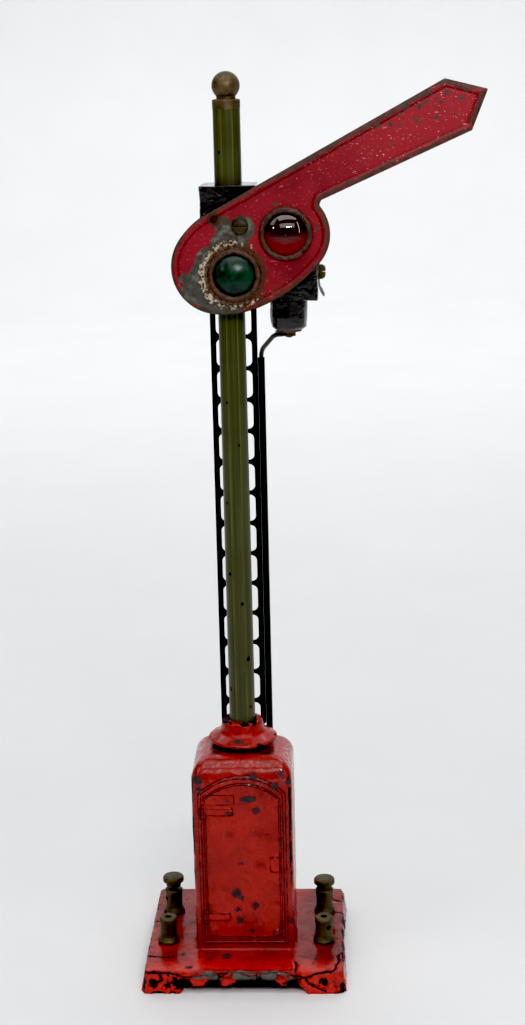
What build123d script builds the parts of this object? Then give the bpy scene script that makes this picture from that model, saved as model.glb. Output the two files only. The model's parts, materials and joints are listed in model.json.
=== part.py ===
from build123d import *
import math
import os

# A toy railway semaphore: a red cast base with a relay-box tower, a round mast with a ball
# finial, and a head that carries a stamped arm with two lenses in front of a lamp house.
# Origin: the mast's axis where it meets the floor. +Z is up, the arm faces -Y, its blade
# points to +X. Millimetres throughout.

# ---- driving dimensions -------------------------------------------------------------------

TOTAL_HEIGHT = 383.6
MAST_R = 5.55
MAST_BORE_R = 4.75
MAST_BOTTOM = 90.4

# base plate, tower, and the collar that holds the mast
PLATE_TOP = 10.0
PLATE_W = 85.4
PLATE_D = 79.4
PLATE_MID_Y = -2.0
PLATE_WALL = 2.0
SKIRT_BOTTOM = 3.4
SKIRT_WALL = 3.0
SKIRT_TAPER = 8.5
FOOT_W = 15.5
TOWER_W = 43.2
TOWER_D = 38.2
TOWER_MID_Y = -3.1
TOWER_TOP = 98.2
TOWER_WALL = 2.8
TOWER_CORNER_R = 3.5
TOWER_SHOULDER_R = 9.5
RELIEF = 0.6
COLLAR_SEAT_R = 12.0
ROOF_SLOPE = 5.0
FLANGE_Z = 100.6
COLLAR_TOP = 109.6
COLLAR_R = 8.8
FLANGE_R = 14.9
COVER_BOTTOM = 1.0
COVER_THICK = 0.8
COVER_SCREWS = ((-31.5, -34.0), (31.5, 30.0))
SINK_R = 2.3

# binding posts
POST_X = 34.3
POST_Y = 14.0
POST_H = 11.8
POST_STUD_R = 1.9
POST_HOLE_R = 1.5
POST_HOLE_DEPTH = 4.2
WIRE_HOLE_R = 1.2
WIRE_HOLE_Z = PLATE_TOP + 7.6
WIRE_HOLE_TURN = {"front_left": -35, "front_right": -54, "rear_left": 30, "rear_right": -15}
NUT_Z = 5.5

# solenoid inside the tower
COIL_BOTTOM = 28.0
COIL_TOP = 66.0
FRAME_THICK = 1.4
FRAME_LEG_Y = -14.0
BOBBIN_R = 12.2
BOBBIN_BORE_R = 4.7
WINDING_R = 11.2
PLUNGER_R = 4.3
PLUNGER_Z = (22.0, 52.0)
ROD_R = 1.0
CORNER_BOSS = 5.4
WIRE_RUN_Z = 6.2
COIL_WIRE_R = 0.45

# arm: it turns on a pivot in the head bracket's front wall
PIVOT_X = 5.1
PIVOT_Z = 323.4
ARM_ANGLE = 25.9
ARM_BACK_Y = -12.2
SHEET = 0.8
RIM_HEIGHT = 0.8
RIM_WIDTH = 2.5
CRANK_PIN = (-8.1, 7.2)
CRANK_PIN_R = 1.1
RED_LENS = (14.9, -11.0)
GREEN_LENS = (-11.1, -16.4)
LENS_HOLE_R = 9.3
PIVOT_R = 1.5
PIVOT_HOLE_R = 1.56
ARM_TRAVEL = (-25.9, 62.0)

# head bracket and lamp house
BRACKET_HALF = 11.4
BRACKET_FRONT = -10.0
BRACKET_BACK = 10.0
BRACKET_Z = (293.6, 339.2)
BRACKET_WALL = 2.0
BRACKET_END = 3.0
LOWER_WEB_TOP = 310.6
UPPER_WEB_BOTTOM = 324.6
SET_SCREW_Z = 330.6
LADDER_SCREW_Z = 306.2
HOUSE_RIGHT = 35.8
HOUSE_Y = (-9.6, 8.6)
HOUSE_Z = (292.4, 326.1)
HOUSE_WALL = 1.6
WINDOW = (20.6, 312.1)
WINDOW_R = 6.4
SOCKET_X = 23.6
SOCKET_Y = -0.5
SOCKET_R = 7.8
SOCKET_BOTTOM = 280.0
SOCKET_NECK_TOP = 299.6
SIDE_SCREW_Z = 303.1

# ladder, conduit and lamp lead behind the mast
LADDER_Y = 10.0
LADDER_THICK = 0.8
LADDER_HALF = 9.8
LADDER_TOP = 309.6
LADDER_BOTTOM = 102.9
LADDER_FOOT = 100.9
WINDOW_HALF = 7.45
WINDOW_CORNER_R = 2.4
LOW_RUNG_Z = 113.8
RUNG_PITCH = 13.45
RUNG_COUNT = 14
RUNG_HEIGHT = 1.7
CONDUIT_X = 11.2
CONDUIT_Y = 12.0
CONDUIT_R = 1.45
CONDUIT_BORE_R = 1.05
CONDUIT_Z = (91.0, 266.0)
LEAD_R = 0.95

pieces = {}


def keep(name, part):
    part.label = name
    pieces[name] = part


# ---- shared shapes ------------------------------------------------------------------------


def turned(points, origin=(0, 0, 0), along=(0, 0, 1), across=(1, 0, 0)):
    """A solid of revolution; each point is (radius, distance along the axis)."""
    normal = Vector(*across).cross(Vector(*along))
    with BuildPart() as piece:
        with BuildSketch(Plane(origin=origin, x_dir=across, z_dir=normal)):
            with BuildLine():
                Polyline(*points, close=True)
            make_face()
        revolve(axis=Axis(origin, along))
    return piece.part


def bar(radius, start, end):
    """A round bar between two points."""
    run = Vector(*end) - Vector(*start)
    with BuildPart() as piece:
        with BuildSketch(Plane(origin=start, z_dir=run.normalized())):
            Circle(radius)
        extrude(amount=run.length)
    return piece.part


def wire(radius, points, bend):
    """A round wire along straight runs joined by tangent arcs."""
    with BuildPart() as piece:
        with BuildLine() as route:
            FilletPolyline(*points, radius=bend)
        with BuildSketch(Plane(origin=route.line @ 0, z_dir=route.line % 0)):
            Circle(radius)
        sweep()
    return piece.part


def hex_nut(centre, across_flats, height, bore_r):
    with BuildPart() as piece:
        with BuildSketch(Plane(origin=centre)):
            RegularPolygon(across_flats / 2, 6, major_radius=False)
            Circle(bore_r, mode=Mode.SUBTRACT)
        extrude(amount=height)
        chamfer(piece.edges().filter_by(GeomType.LINE).filter_by(Axis.Z), 0.25)
    return piece.part


def slotted_screw(origin, along, across, head_r, head_h, shank_r, shank_length):
    """A round-head screw; the head's underside is at the origin and it rises along the axis."""
    profile = [
        (0, -shank_length),
        (shank_r - 0.2, -shank_length),
        (shank_r, 0.3 - shank_length),
        (shank_r, 0),
        (head_r, 0),
        (head_r, head_h * 0.45),
        (head_r * 0.82, head_h * 0.85),
        (head_r * 0.45, head_h),
        (0, head_h),
    ]
    body = turned(profile, origin, along, across)
    slot_floor = Vector(*origin) + Vector(*along) * (head_h * 0.5)
    with BuildPart() as piece:
        add(body)
        with BuildSketch(Plane(origin=slot_floor, x_dir=across, z_dir=along)):
            Rectangle(3 * head_r, head_r * 0.26)
        extrude(amount=head_h, mode=Mode.SUBTRACT)
    return piece.part


def together(parts):
    """Identical pieces that share one node stay separate solids."""
    return Compound(children=list(parts))


# ---- base casting -------------------------------------------------------------------------

INNER_W = TOWER_W - 2 * TOWER_WALL
INNER_D = TOWER_D - 2 * TOWER_WALL
INNER_TOP = TOWER_TOP - TOWER_WALL
TOWER = Plane(origin=(0, TOWER_MID_Y, 0))
SPLAY = PLATE_TOP * math.tan(math.radians(SKIRT_TAPER))
DOOR = Plane(origin=(0, TOWER_MID_Y - TOWER_D / 2, 0), x_dir=(1, 0, 0), z_dir=(0, -1, 0))


def arched_frame(half_width, bottom, springing, crown, band):
    """A band round an arched door outline."""
    with BuildSketch() as frame:
        with BuildLine():
            head = ThreePointArc((-half_width, springing), (0, crown), (half_width, springing))
            Polyline(head @ 1, (half_width, bottom), (-half_width, bottom), head @ 0)
        outline = make_face()
        offset(outline, amount=-band, mode=Mode.SUBTRACT)
    return frame.sketch


def foot_gap(middle, half_gap):
    """The gap between two feet, with sloping ends."""
    with BuildSketch() as gap:
        with BuildLine():
            Polyline(
                (middle - half_gap, -1),
                (middle - half_gap, 0.6),
                (middle - half_gap + 2.4, SKIRT_BOTTOM),
                (middle + half_gap - 2.4, SKIRT_BOTTOM),
                (middle + half_gap, 0.6),
                (middle + half_gap, -1),
                close=True,
            )
        make_face()
    return gap.sketch


with BuildPart() as base_casting:
    with BuildSketch(Plane.XY):
        with Locations((0, PLATE_MID_Y)):
            RectangleRounded(PLATE_W + 2 * SPLAY, PLATE_D + 2 * SPLAY, 3.5)
    extrude(amount=PLATE_TOP, taper=SKIRT_TAPER)
    fillet(base_casting.faces().sort_by(Axis.Z)[-1].edges(), 0.9)

    # the tower stands on the plate with a small sloping plinth
    with BuildSketch(TOWER.offset(PLATE_TOP - PLATE_WALL)):
        RectangleRounded(TOWER_W, TOWER_D, TOWER_CORNER_R)
    extrude(amount=TOWER_TOP - PLATE_TOP + PLATE_WALL)
    fillet(base_casting.faces().sort_by(Axis.Z)[-1].edges(), TOWER_SHOULDER_R)
    with BuildSketch(TOWER.offset(PLATE_TOP - 0.2)):
        RectangleRounded(TOWER_W + 2.0, TOWER_D + 2.0, TOWER_CORNER_R + 1.0)
    extrude(amount=0.9, taper=45)

    # a round seat under the mast's collar, flush with the roof
    with BuildSketch(Plane.XY.offset(TOWER_TOP)):
        Circle(COLLAR_SEAT_R)
    extrude(amount=-3)

    # hollow under the plate, open between the four feet
    with BuildSketch(Plane.XY):
        with Locations((0, PLATE_MID_Y)):
            RectangleRounded(PLATE_W - 2 * SKIRT_WALL, PLATE_D - 2 * SKIRT_WALL, 2.0)
    extrude(amount=PLATE_TOP - PLATE_WALL, mode=Mode.SUBTRACT)
    with BuildSketch(Plane.XZ):
        add(foot_gap(0, PLATE_W / 2 - FOOT_W))
    extrude(amount=PLATE_D, both=True, mode=Mode.SUBTRACT)
    with BuildSketch(Plane.YZ):
        add(foot_gap(PLATE_MID_Y, PLATE_D / 2 - FOOT_W))
    extrude(amount=PLATE_W, both=True, mode=Mode.SUBTRACT)

    # hollow tower with a boss in each corner for the coil frame's screws
    with BuildSketch(TOWER):
        Rectangle(INNER_W, INNER_D)
    extrude(amount=INNER_TOP - ROOF_SLOPE, mode=Mode.SUBTRACT)
    with BuildSketch(TOWER.offset(INNER_TOP - ROOF_SLOPE)):
        Rectangle(INNER_W, INNER_D)
    extrude(amount=ROOF_SLOPE, taper=42, mode=Mode.SUBTRACT)
    with BuildSketch(TOWER.offset(COIL_BOTTOM)):
        with GridLocations(INNER_W - CORNER_BOSS, INNER_D - CORNER_BOSS, 2, 2):
            Rectangle(CORNER_BOSS + 0.4, CORNER_BOSS + 0.4)
    extrude(amount=16)
    with BuildSketch(TOWER.offset(COIL_BOTTOM)):
        with GridLocations(INNER_W - CORNER_BOSS, INNER_D - CORNER_BOSS, 2, 2):
            Circle(1.25)
    extrude(amount=11, mode=Mode.SUBTRACT)

    # bosses under the plate for the bottom cover's screws
    with BuildSketch(Plane.XY.offset(COVER_BOTTOM + COVER_THICK)):
        with Locations(*COVER_SCREWS):
            Circle(3.2)
            Circle(1.05, mode=Mode.SUBTRACT)
    extrude(amount=PLATE_TOP - PLATE_WALL - COVER_BOTTOM - COVER_THICK + 0.2)

    # holes for the mast, the conduit and the binding posts
    with BuildSketch(Plane.XY.offset(TOWER_TOP + 1)):
        Circle(MAST_R + 0.1)
        with Locations((CONDUIT_X, CONDUIT_Y)):
            Circle(CONDUIT_R + 0.05)
    extrude(amount=-(TOWER_WALL + 7), mode=Mode.SUBTRACT)
    with BuildSketch(Plane.XY.offset(PLATE_TOP + 1)):
        with GridLocations(2 * POST_X, 2 * POST_Y, 2, 2):
            Circle(POST_STUD_R + 0.2)
    extrude(amount=-5, mode=Mode.SUBTRACT)

    # cast relief of a cupboard door on the front: two bands, straps, bolts, keyhole plate
    with BuildSketch(DOOR.offset(-RELIEF)):
        add(arched_frame(18.7, 13.2, 83.4, 91.4, 1.2))
    extrude(amount=2 * RELIEF)
    with BuildSketch(DOOR.offset(-RELIEF)):
        add(arched_frame(16.5, 15.5, 80.8, 88.0, 0.8))
    extrude(amount=1.8 * RELIEF)
    with BuildSketch(DOOR.offset(-RELIEF)):
        for z, length in ((75.0, 13.6), (25.8, 11.4)):
            with Locations((length / 2 - 17.6, z)):
                SlotOverall(length, 3.2)
            with Locations((-16.8, z)):
                Rectangle(2.4, 6.4)
        with Locations((-13.9, 18.2), (13.9, 18.2)):
            Circle(1.3)
        with Locations((13.8, 50.4)):
            SlotOverall(6.8, 4.2, rotation=90)
    extrude(amount=1.9 * RELIEF)
    with BuildSketch(DOOR.offset(0.1)):
        with Locations((13.8, 51.2)):
            Circle(0.75)
        with Locations((13.8, 49.8)):
            Rectangle(0.7, 2.6)
    extrude(amount=1, mode=Mode.SUBTRACT)
keep("base_casting", base_casting.part)

with BuildPart() as bottom_cover:
    with BuildSketch(Plane.XY.offset(COVER_BOTTOM)):
        with Locations((0, PLATE_MID_Y)):
            RectangleRounded(PLATE_W - 2 * SKIRT_WALL - 0.6, PLATE_D - 2 * SKIRT_WALL - 0.6, 1.7)
    extrude(amount=COVER_THICK)
    for x, y in COVER_SCREWS:
        sink = [(0, -0.1), (SINK_R + 0.1, -0.1), (SINK_R, 0), (1.1, COVER_THICK), (0, COVER_THICK)]
        add(turned(sink, origin=(x, y, COVER_BOTTOM)), mode=Mode.SUBTRACT)
keep("bottom_cover", bottom_cover.part)


def sunk_screw(x, y):
    """A slotted screw whose flat head lies just inside the cover's face."""
    profile = [(0, 0.1), (SINK_R - 0.2, 0.1), (1.0, COVER_THICK), (1.0, 4.6), (0, 4.6)]
    with BuildPart() as screw:
        add(turned(profile, origin=(x, y, COVER_BOTTOM)))
        with BuildSketch(Plane.XY.offset(COVER_BOTTOM + 0.35)):
            with Locations((x, y)):
                Rectangle(5, 0.5)
        extrude(amount=-1, mode=Mode.SUBTRACT)
    return screw.part


keep("cover_screws", together(sunk_screw(x, y) for x, y in COVER_SCREWS))

# ---- mast ---------------------------------------------------------------------------------

LADDER_SLOT_X = 8.2
LADDER_MID_Y = LADDER_Y + LADDER_THICK / 2

with BuildPart() as mast_collar:
    add(
        turned(
            [
                (MAST_R, TOWER_TOP),
                (COLLAR_SEAT_R, TOWER_TOP),
                (12.4, FLANGE_Z - 0.3),
                (FLANGE_R - 0.3, FLANGE_Z),
                (FLANGE_R, FLANGE_Z + 0.3),
                (FLANGE_R, FLANGE_Z + 0.9),
                (FLANGE_R - 0.4, FLANGE_Z + 1.3),
                (10.4, FLANGE_Z + 3.4),
                (9.5, FLANGE_Z + 4.4),
                (COLLAR_R, COLLAR_TOP - 0.8),
                (COLLAR_R - 0.8, COLLAR_TOP),
                (MAST_R, COLLAR_TOP),
            ]
        )
    )
    with BuildSketch(Plane.XY.offset(TOWER_TOP)):
        with Locations((-LADDER_SLOT_X, LADDER_MID_Y), (LADDER_SLOT_X, LADDER_MID_Y)):
            Rectangle(1.7, LADDER_THICK + 0.2)
    extrude(amount=10, mode=Mode.SUBTRACT)
keep("mast_collar", mast_collar.part)

# the crank pin's place at rest sets the yoke's height and the window in the mast
TILT = math.radians(ARM_ANGLE)
CRANK_REACH = math.hypot(*CRANK_PIN)
CRANK_REST = math.atan2(CRANK_PIN[1], CRANK_PIN[0]) + TILT
PIN_X = PIVOT_X + CRANK_REACH * math.cos(CRANK_REST)
PIN_Z = PIVOT_Z + CRANK_REACH * math.sin(CRANK_REST)
YOKE_Z = PIN_Z - 0.1
YOKE_LIFT = 4.6
YOKE_DROP = 10.95
YOKE_TAB_HALF = 1.8

with BuildPart() as mast_tube:
    with BuildSketch(Plane.XY.offset(MAST_BOTTOM)):
        Circle(MAST_R)
        Circle(MAST_BORE_R, mode=Mode.SUBTRACT)
    extrude(amount=TOTAL_HEIGHT - 14.7 - MAST_BOTTOM)
    window_low = YOKE_Z - YOKE_DROP - YOKE_TAB_HALF - 0.6
    window_high = YOKE_Z + YOKE_LIFT + YOKE_TAB_HALF + 0.6
    with BuildSketch(Plane.XZ):
        with Locations((0, (window_low + window_high) / 2)):
            Rectangle(3.2, window_high - window_low)
    extrude(amount=8, mode=Mode.SUBTRACT)
keep("mast_tube", mast_tube.part)

keep("mast_nut", hex_nut((0, 0, INNER_TOP - 2.8), 15.0, 2.8, MAST_R))

BALL_R = 5.65
BALL_Z = TOTAL_HEIGHT - BALL_R
NECK_R = 3.85
FINIAL_BASE = TOTAL_HEIGHT - 14.7

with BuildPart() as finial:
    with BuildSketch(Plane.XZ):
        with BuildLine():
            neck_z = BALL_Z - math.sqrt(BALL_R**2 - NECK_R**2)
            side = Polyline(
                (0, FINIAL_BASE - 7),
                (MAST_BORE_R - 0.1, FINIAL_BASE - 7),
                (MAST_BORE_R - 0.1, FINIAL_BASE),
                (5.65, FINIAL_BASE),
                (5.65, FINIAL_BASE + 3.3),
                (5.35, FINIAL_BASE + 3.7),
                (NECK_R, FINIAL_BASE + 3.9),
                (NECK_R, neck_z),
            )
            ball = ThreePointArc(side @ 1, (BALL_R, BALL_Z), (0, TOTAL_HEIGHT))
            Line(ball @ 1, side @ 0)
        make_face()
    revolve(axis=Axis.Z)
keep("finial", finial.part)

# ---- binding posts ------------------------------------------------------------------------

POSTS = {
    "front_left": (-POST_X, -POST_Y),
    "front_right": (POST_X, -POST_Y),
    "rear_left": (-POST_X, POST_Y),
    "rear_right": (POST_X, POST_Y),
}
POST_TOP = PLATE_TOP + POST_H


def binding_post(x, y, turn):
    """A waisted brass post: a wire hole across it at that angle from +X, a screw hole down its top."""
    across = (math.cos(math.radians(turn)), math.sin(math.radians(turn)), 0)
    body = turned(
        [
            (0, NUT_Z - 0.6),
            (POST_STUD_R, NUT_Z - 0.6),
            (POST_STUD_R, PLATE_TOP),
            (4.75, PLATE_TOP),
            (4.75, PLATE_TOP + 1.2),
            (4.3, PLATE_TOP + 1.9),
            (3.75, PLATE_TOP + 3.2),
            (3.65, PLATE_TOP + 6.0),
            (3.75, PLATE_TOP + 8.6),
            (4.0, PLATE_TOP + 10.2),
            (4.0, POST_TOP - 0.5),
            (3.5, POST_TOP),
            (0, POST_TOP),
        ],
        origin=(x, y, 0),
    )
    with BuildPart() as post:
        add(body)
        with BuildSketch(Plane(origin=(x, y, POST_TOP))):
            Circle(POST_HOLE_R)
        extrude(amount=-POST_HOLE_DEPTH, mode=Mode.SUBTRACT)
        with BuildSketch(Plane(origin=(x, y, WIRE_HOLE_Z), z_dir=across)):
            Circle(WIRE_HOLE_R)
        extrude(amount=8, both=True, mode=Mode.SUBTRACT)
    return post.part


for place, (x, y) in POSTS.items():
    keep("post_" + place, binding_post(x, y, WIRE_HOLE_TURN[place]))

washers = []
nuts = []
for x, y in POSTS.values():
    low = PLATE_TOP - PLATE_WALL - 0.7
    high = PLATE_TOP - PLATE_WALL
    ring = [(POST_STUD_R, low), (4.6, low), (4.6, high), (POST_STUD_R, high)]
    washers.append(turned(ring, origin=(x, y, 0)))
    nuts.append(hex_nut((x, y, NUT_Z), 6.0, low - NUT_Z, POST_STUD_R))
keep("post_washers", together(washers))
keep("post_nuts", together(nuts))


def thumb_screw(x, y, seat):
    """A mushroom-headed thumb screw; its neck's underside is at the seat."""
    body = turned(
        [
            (0, -3.0),
            (1.2, -3.0),
            (1.45, -2.7),
            (1.45, 0),
            (3.3, 0),
            (3.3, 1.6),
            (3.9, 2.0),
            (4.6, 2.2),
            (4.7, 2.7),
            (4.7, 3.9),
            (4.3, 4.5),
            (3.2, 4.9),
            (0, 5.05),
        ],
        origin=(x, y, seat),
    )
    with BuildPart() as screw:
        add(body)
        with BuildSketch(Plane(origin=(x, y, seat + 2.2))):
            with PolarLocations(4.78, 24):
                Circle(0.2)
        extrude(amount=3, mode=Mode.SUBTRACT)
    return screw.part


# the left screw stands a little out of its post, the right one is run right down
keep("thumb_screw_left", thumb_screw(-POST_X, POST_Y, POST_TOP + 1.6))
keep("thumb_screw_right", thumb_screw(POST_X, POST_Y, POST_TOP + 0.3))

# ---- solenoid and operating rod -----------------------------------------------------------

bobbin_profile = [
    (BOBBIN_BORE_R, COIL_BOTTOM),
    (BOBBIN_R, COIL_BOTTOM),
    (BOBBIN_R, COIL_BOTTOM + 1.4),
    (5.6, COIL_BOTTOM + 1.4),
    (5.6, COIL_TOP - 1.4),
    (BOBBIN_R, COIL_TOP - 1.4),
    (BOBBIN_R, COIL_TOP),
    (BOBBIN_BORE_R, COIL_TOP),
]
keep("coil_bobbin", turned(bobbin_profile))

winding_profile = [
    (5.6, COIL_BOTTOM + 1.4),
    (WINDING_R, COIL_BOTTOM + 1.4),
    (WINDING_R, COIL_TOP - 1.4),
    (5.6, COIL_TOP - 1.4),
]
keep("coil_winding", turned(winding_profile))

with BuildPart() as coil_frame:
    with BuildSketch(Plane.XY.offset(COIL_BOTTOM - FRAME_THICK)):
        with Locations((0, TOWER_MID_Y)):
            RectangleRounded(INNER_W - 1, INNER_D - 1, 2)
            with GridLocations(INNER_W - CORNER_BOSS, INNER_D - CORNER_BOSS, 2, 2):
                Circle(1.3, mode=Mode.SUBTRACT)
        Circle(PLUNGER_R + 0.7, mode=Mode.SUBTRACT)
        with GridLocations(2 * CONDUIT_X, 2 * CONDUIT_Y, 2, 2):
            Circle(1.3, mode=Mode.SUBTRACT)
    extrude(amount=FRAME_THICK)
    with BuildSketch(Plane.XY.offset(COIL_BOTTOM)):
        with Locations((0, FRAME_LEG_Y)):
            Rectangle(16, FRAME_THICK)
    extrude(amount=COIL_TOP - COIL_BOTTOM + FRAME_THICK)
    with BuildSketch(Plane.XY.offset(COIL_TOP)):
        with Locations((0, FRAME_LEG_Y / 2 + 4)):
            Rectangle(16, FRAME_THICK + 8 - FRAME_LEG_Y)
        Circle(ROD_R + 1.2, mode=Mode.SUBTRACT)
    extrude(amount=FRAME_THICK)
keep("coil_frame", coil_frame.part)

frame_under = COIL_BOTTOM - FRAME_THICK
frame_screws = []
for x in (-(INNER_W - CORNER_BOSS) / 2, (INNER_W - CORNER_BOSS) / 2):
    for y in (-(INNER_D - CORNER_BOSS) / 2, (INNER_D - CORNER_BOSS) / 2):
        place = (x, y + TOWER_MID_Y, frame_under)
        frame_screws.append(slotted_screw(place, (0, 0, -1), (1, 0, 0), 2.3, 1.4, 1.2, 10))
keep("frame_screws", together(frame_screws))

plunger_profile = [
    (0, PLUNGER_Z[0]),
    (PLUNGER_R - 0.6, PLUNGER_Z[0]),
    (PLUNGER_R, PLUNGER_Z[0] + 0.6),
    (PLUNGER_R, PLUNGER_Z[1] - 0.6),
    (PLUNGER_R - 0.6, PLUNGER_Z[1]),
    (0, PLUNGER_Z[1]),
]
keep("plunger", turned(plunger_profile))
keep("operating_rod", bar(ROD_R, (0, 0, PLUNGER_Z[1]), (0, 0, YOKE_Z + 3.2)))

# the yoke stands in front of the mast inside the bracket; the crank pin runs in its slot
SLOT_X = (PIVOT_X - CRANK_REACH - CRANK_PIN_R - 0.35, -0.95)
YOKE_Y = -7.4

with BuildPart() as rod_yoke:
    with BuildSketch(Plane.XZ.offset(-YOKE_Y - 1)):
        with Locations((-3.75, YOKE_Z)):
            RectangleRounded(10.3, 7.2, 1.2)
        with Locations(((SLOT_X[0] + SLOT_X[1]) / 2, YOKE_Z)):
            SlotOverall(SLOT_X[1] - SLOT_X[0], 3.3, mode=Mode.SUBTRACT)
    extrude(amount=1)
    with BuildSketch(Plane.XY.offset(YOKE_Z - YOKE_TAB_HALF)):
        with Locations((0, (YOKE_Y + 1) / 2)):
            Rectangle(2.2, -YOKE_Y - 1)
    extrude(amount=2 * YOKE_TAB_HALF)
    with BuildSketch(Plane.XY.offset(YOKE_Z - 2.4)):
        Circle(2.2)
    extrude(amount=4.8)
    with BuildSketch(Plane.XY.offset(YOKE_Z - 3)):
        Circle(ROD_R)
    extrude(amount=6, mode=Mode.SUBTRACT)
keep("rod_yoke", rod_yoke.part)

# ---- head bracket -------------------------------------------------------------------------

def crank_slot():
    """The curved slot that the crank pin sweeps, drawn round the pivot."""
    start = math.degrees(CRANK_REST) + ARM_TRAVEL[0] - 1
    travel = ARM_TRAVEL[1] - ARM_TRAVEL[0] + 2
    with BuildLine() as path:
        CenterArc((PIVOT_X, PIVOT_Z), CRANK_REACH, start, travel)
    with BuildSketch() as slot:
        SlotArc(path.wire(), 2 * CRANK_PIN_R + 0.8)
    return slot.sketch


with BuildPart() as head_bracket:
    inner_half = BRACKET_HALF - BRACKET_WALL
    depth = BRACKET_BACK - BRACKET_FRONT
    with BuildSketch(Plane.XY.offset(BRACKET_Z[0])):
        RectangleRounded(2 * BRACKET_HALF, depth, 1.2)
    extrude(amount=BRACKET_Z[1] - BRACKET_Z[0])
    with BuildSketch(Plane.XY.offset(BRACKET_Z[0] + BRACKET_END)):
        Rectangle(2 * inner_half, depth - 2 * BRACKET_WALL)
    extrude(amount=BRACKET_Z[1] - BRACKET_Z[0] - 2 * BRACKET_END, mode=Mode.SUBTRACT)

    # the back is open between a lower and an upper web
    with BuildSketch(Plane.XZ):
        with Locations((0, (LOWER_WEB_TOP + UPPER_WEB_BOTTOM) / 2)):
            Rectangle(2 * inner_half, UPPER_WEB_BOTTOM - LOWER_WEB_TOP)
    extrude(amount=-(BRACKET_BACK + 2), mode=Mode.SUBTRACT)

    # mast bore, pivot hole, and a curved slot for the crank pin
    with BuildSketch(Plane.XY.offset(BRACKET_Z[0])):
        Circle(MAST_R)
    extrude(amount=BRACKET_Z[1] - BRACKET_Z[0], mode=Mode.SUBTRACT)
    with BuildSketch(Plane.XZ.offset(-BRACKET_FRONT - BRACKET_WALL - 0.5)):
        with Locations((PIVOT_X, PIVOT_Z)):
            Circle(PIVOT_R)
        add(crank_slot())
    extrude(amount=BRACKET_WALL + 1, mode=Mode.SUBTRACT)

    # tapped holes for the set screw and the ladder's screw
    with BuildSketch(Plane.XZ):
        with Locations((0, SET_SCREW_Z), (0, LADDER_SCREW_Z)):
            Circle(1.2)
    extrude(amount=-(BRACKET_BACK + 1), mode=Mode.SUBTRACT)

BACKWARDS = (0, 1, 0)
set_screw = slotted_screw(
    (0, BRACKET_BACK, SET_SCREW_Z), BACKWARDS, (1, 0, 0), 2.4, 1.6, 1.2, BRACKET_BACK - MAST_R
)
keep("bracket_set_screw", set_screw)

# ---- arm ----------------------------------------------------------------------------------

ARM = Plane(
    origin=(PIVOT_X, ARM_BACK_Y, PIVOT_Z),
    x_dir=(math.cos(TILT), 0, math.sin(TILT)),
    z_dir=(0, -1, 0),
)


def arm_outline():
    """Pointed blade to the right, two-lobed lens plate below the pivot."""
    with BuildSketch() as outline:
        with BuildLine():
            top_left = (-12.8, 10.2)
            shoulder = ThreePointArc(top_left, (-19.0, 8.7), (-24.5, 6.2))
            left = ThreePointArc(shoulder @ 1, (-34.4, -10.6), (-25.2, -26.9))
            below = ThreePointArc(left @ 1, (-15.6, -31.1), (-5.0, -32.6))
            under = ThreePointArc(below @ 1, (8.0, -31.7), (20.0, -28.2))
            right = ThreePointArc(under @ 1, (32.4, -13.0), (31.9, -7.0))
            Polyline(
                right @ 1,
                (33.4, -5.5),
                (98.5, -8.1),
                (110.9, 3.4),
                (97.6, 14.7),
                top_left,
            )
        make_face()
    return outline.sketch


with BuildPart() as arm_plate:
    with BuildSketch(ARM):
        add(arm_outline())
        with Locations((0, 0)):
            Circle(PIVOT_HOLE_R, mode=Mode.SUBTRACT)
        with Locations(CRANK_PIN):
            Circle(CRANK_PIN_R, mode=Mode.SUBTRACT)
        with Locations(RED_LENS, GREEN_LENS):
            Circle(LENS_HOLE_R, mode=Mode.SUBTRACT)
    extrude(amount=SHEET)
    with BuildSketch(ARM.offset(SHEET)):
        add(arm_outline())
        add(offset(arm_outline(), amount=-RIM_WIDTH, mode=Mode.PRIVATE), mode=Mode.SUBTRACT)
        with Locations(CRANK_PIN):
            Circle(1.7, mode=Mode.SUBTRACT)
    extrude(amount=RIM_HEIGHT)
keep("arm_plate", arm_plate.part)


def on_arm(place):
    """A point of the blade's own frame, given in X and Z."""
    return (
        PIVOT_X + place[0] * math.cos(TILT) - place[1] * math.sin(TILT),
        PIVOT_Z + place[0] * math.sin(TILT) + place[1] * math.cos(TILT),
    )


FORWARD = (0, -1, 0)
FIELD = SHEET - ARM_BACK_Y
BEZEL_R = 10.9
LENS_R = 8.8
DOME_R = 8.2
DOME_H = 3.1

bezel_profile = [
    (LENS_R + 0.1, FIELD - 1.3),
    (LENS_HOLE_R + 1.0, FIELD - 1.3),
    (LENS_HOLE_R + 1.0, FIELD - SHEET),
    (LENS_HOLE_R, FIELD - SHEET),
    (LENS_HOLE_R, FIELD),
    (BEZEL_R, FIELD),
    (BEZEL_R, FIELD + 0.8),
    (BEZEL_R - 0.4, FIELD + 1.4),
    (BEZEL_R - 1.3, FIELD + 1.8),
    (BEZEL_R - 2.2, FIELD + 1.5),
    (BEZEL_R - 2.6, FIELD + 0.9),
    (BEZEL_R - 2.6, FIELD + 0.6),
    (LENS_R + 0.1, FIELD + 0.6),
]


def lens(centre):
    """A domed signal lens held behind the bezel's lip."""
    with BuildPart() as glass:
        with BuildSketch(Plane(origin=centre, x_dir=(1, 0, 0), z_dir=(0, 0, -1))):
            with BuildLine():
                back = Polyline(
                    (0, FIELD - 1.1),
                    (LENS_R, FIELD - 1.1),
                    (LENS_R, FIELD + 0.5),
                    (DOME_R, FIELD + 0.5),
                )
                ball_r = (DOME_R**2 + DOME_H**2) / (2 * DOME_H)
                top = FIELD + 0.5 + DOME_H
                half_way = top - ball_r + math.sqrt(ball_r**2 - (DOME_R / 2) ** 2)
                dome = ThreePointArc(back @ 1, (DOME_R / 2, half_way), (0, top))
                Line(dome @ 1, back @ 0)
            make_face()
        revolve(axis=Axis(centre, FORWARD))
    return glass.part


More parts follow.
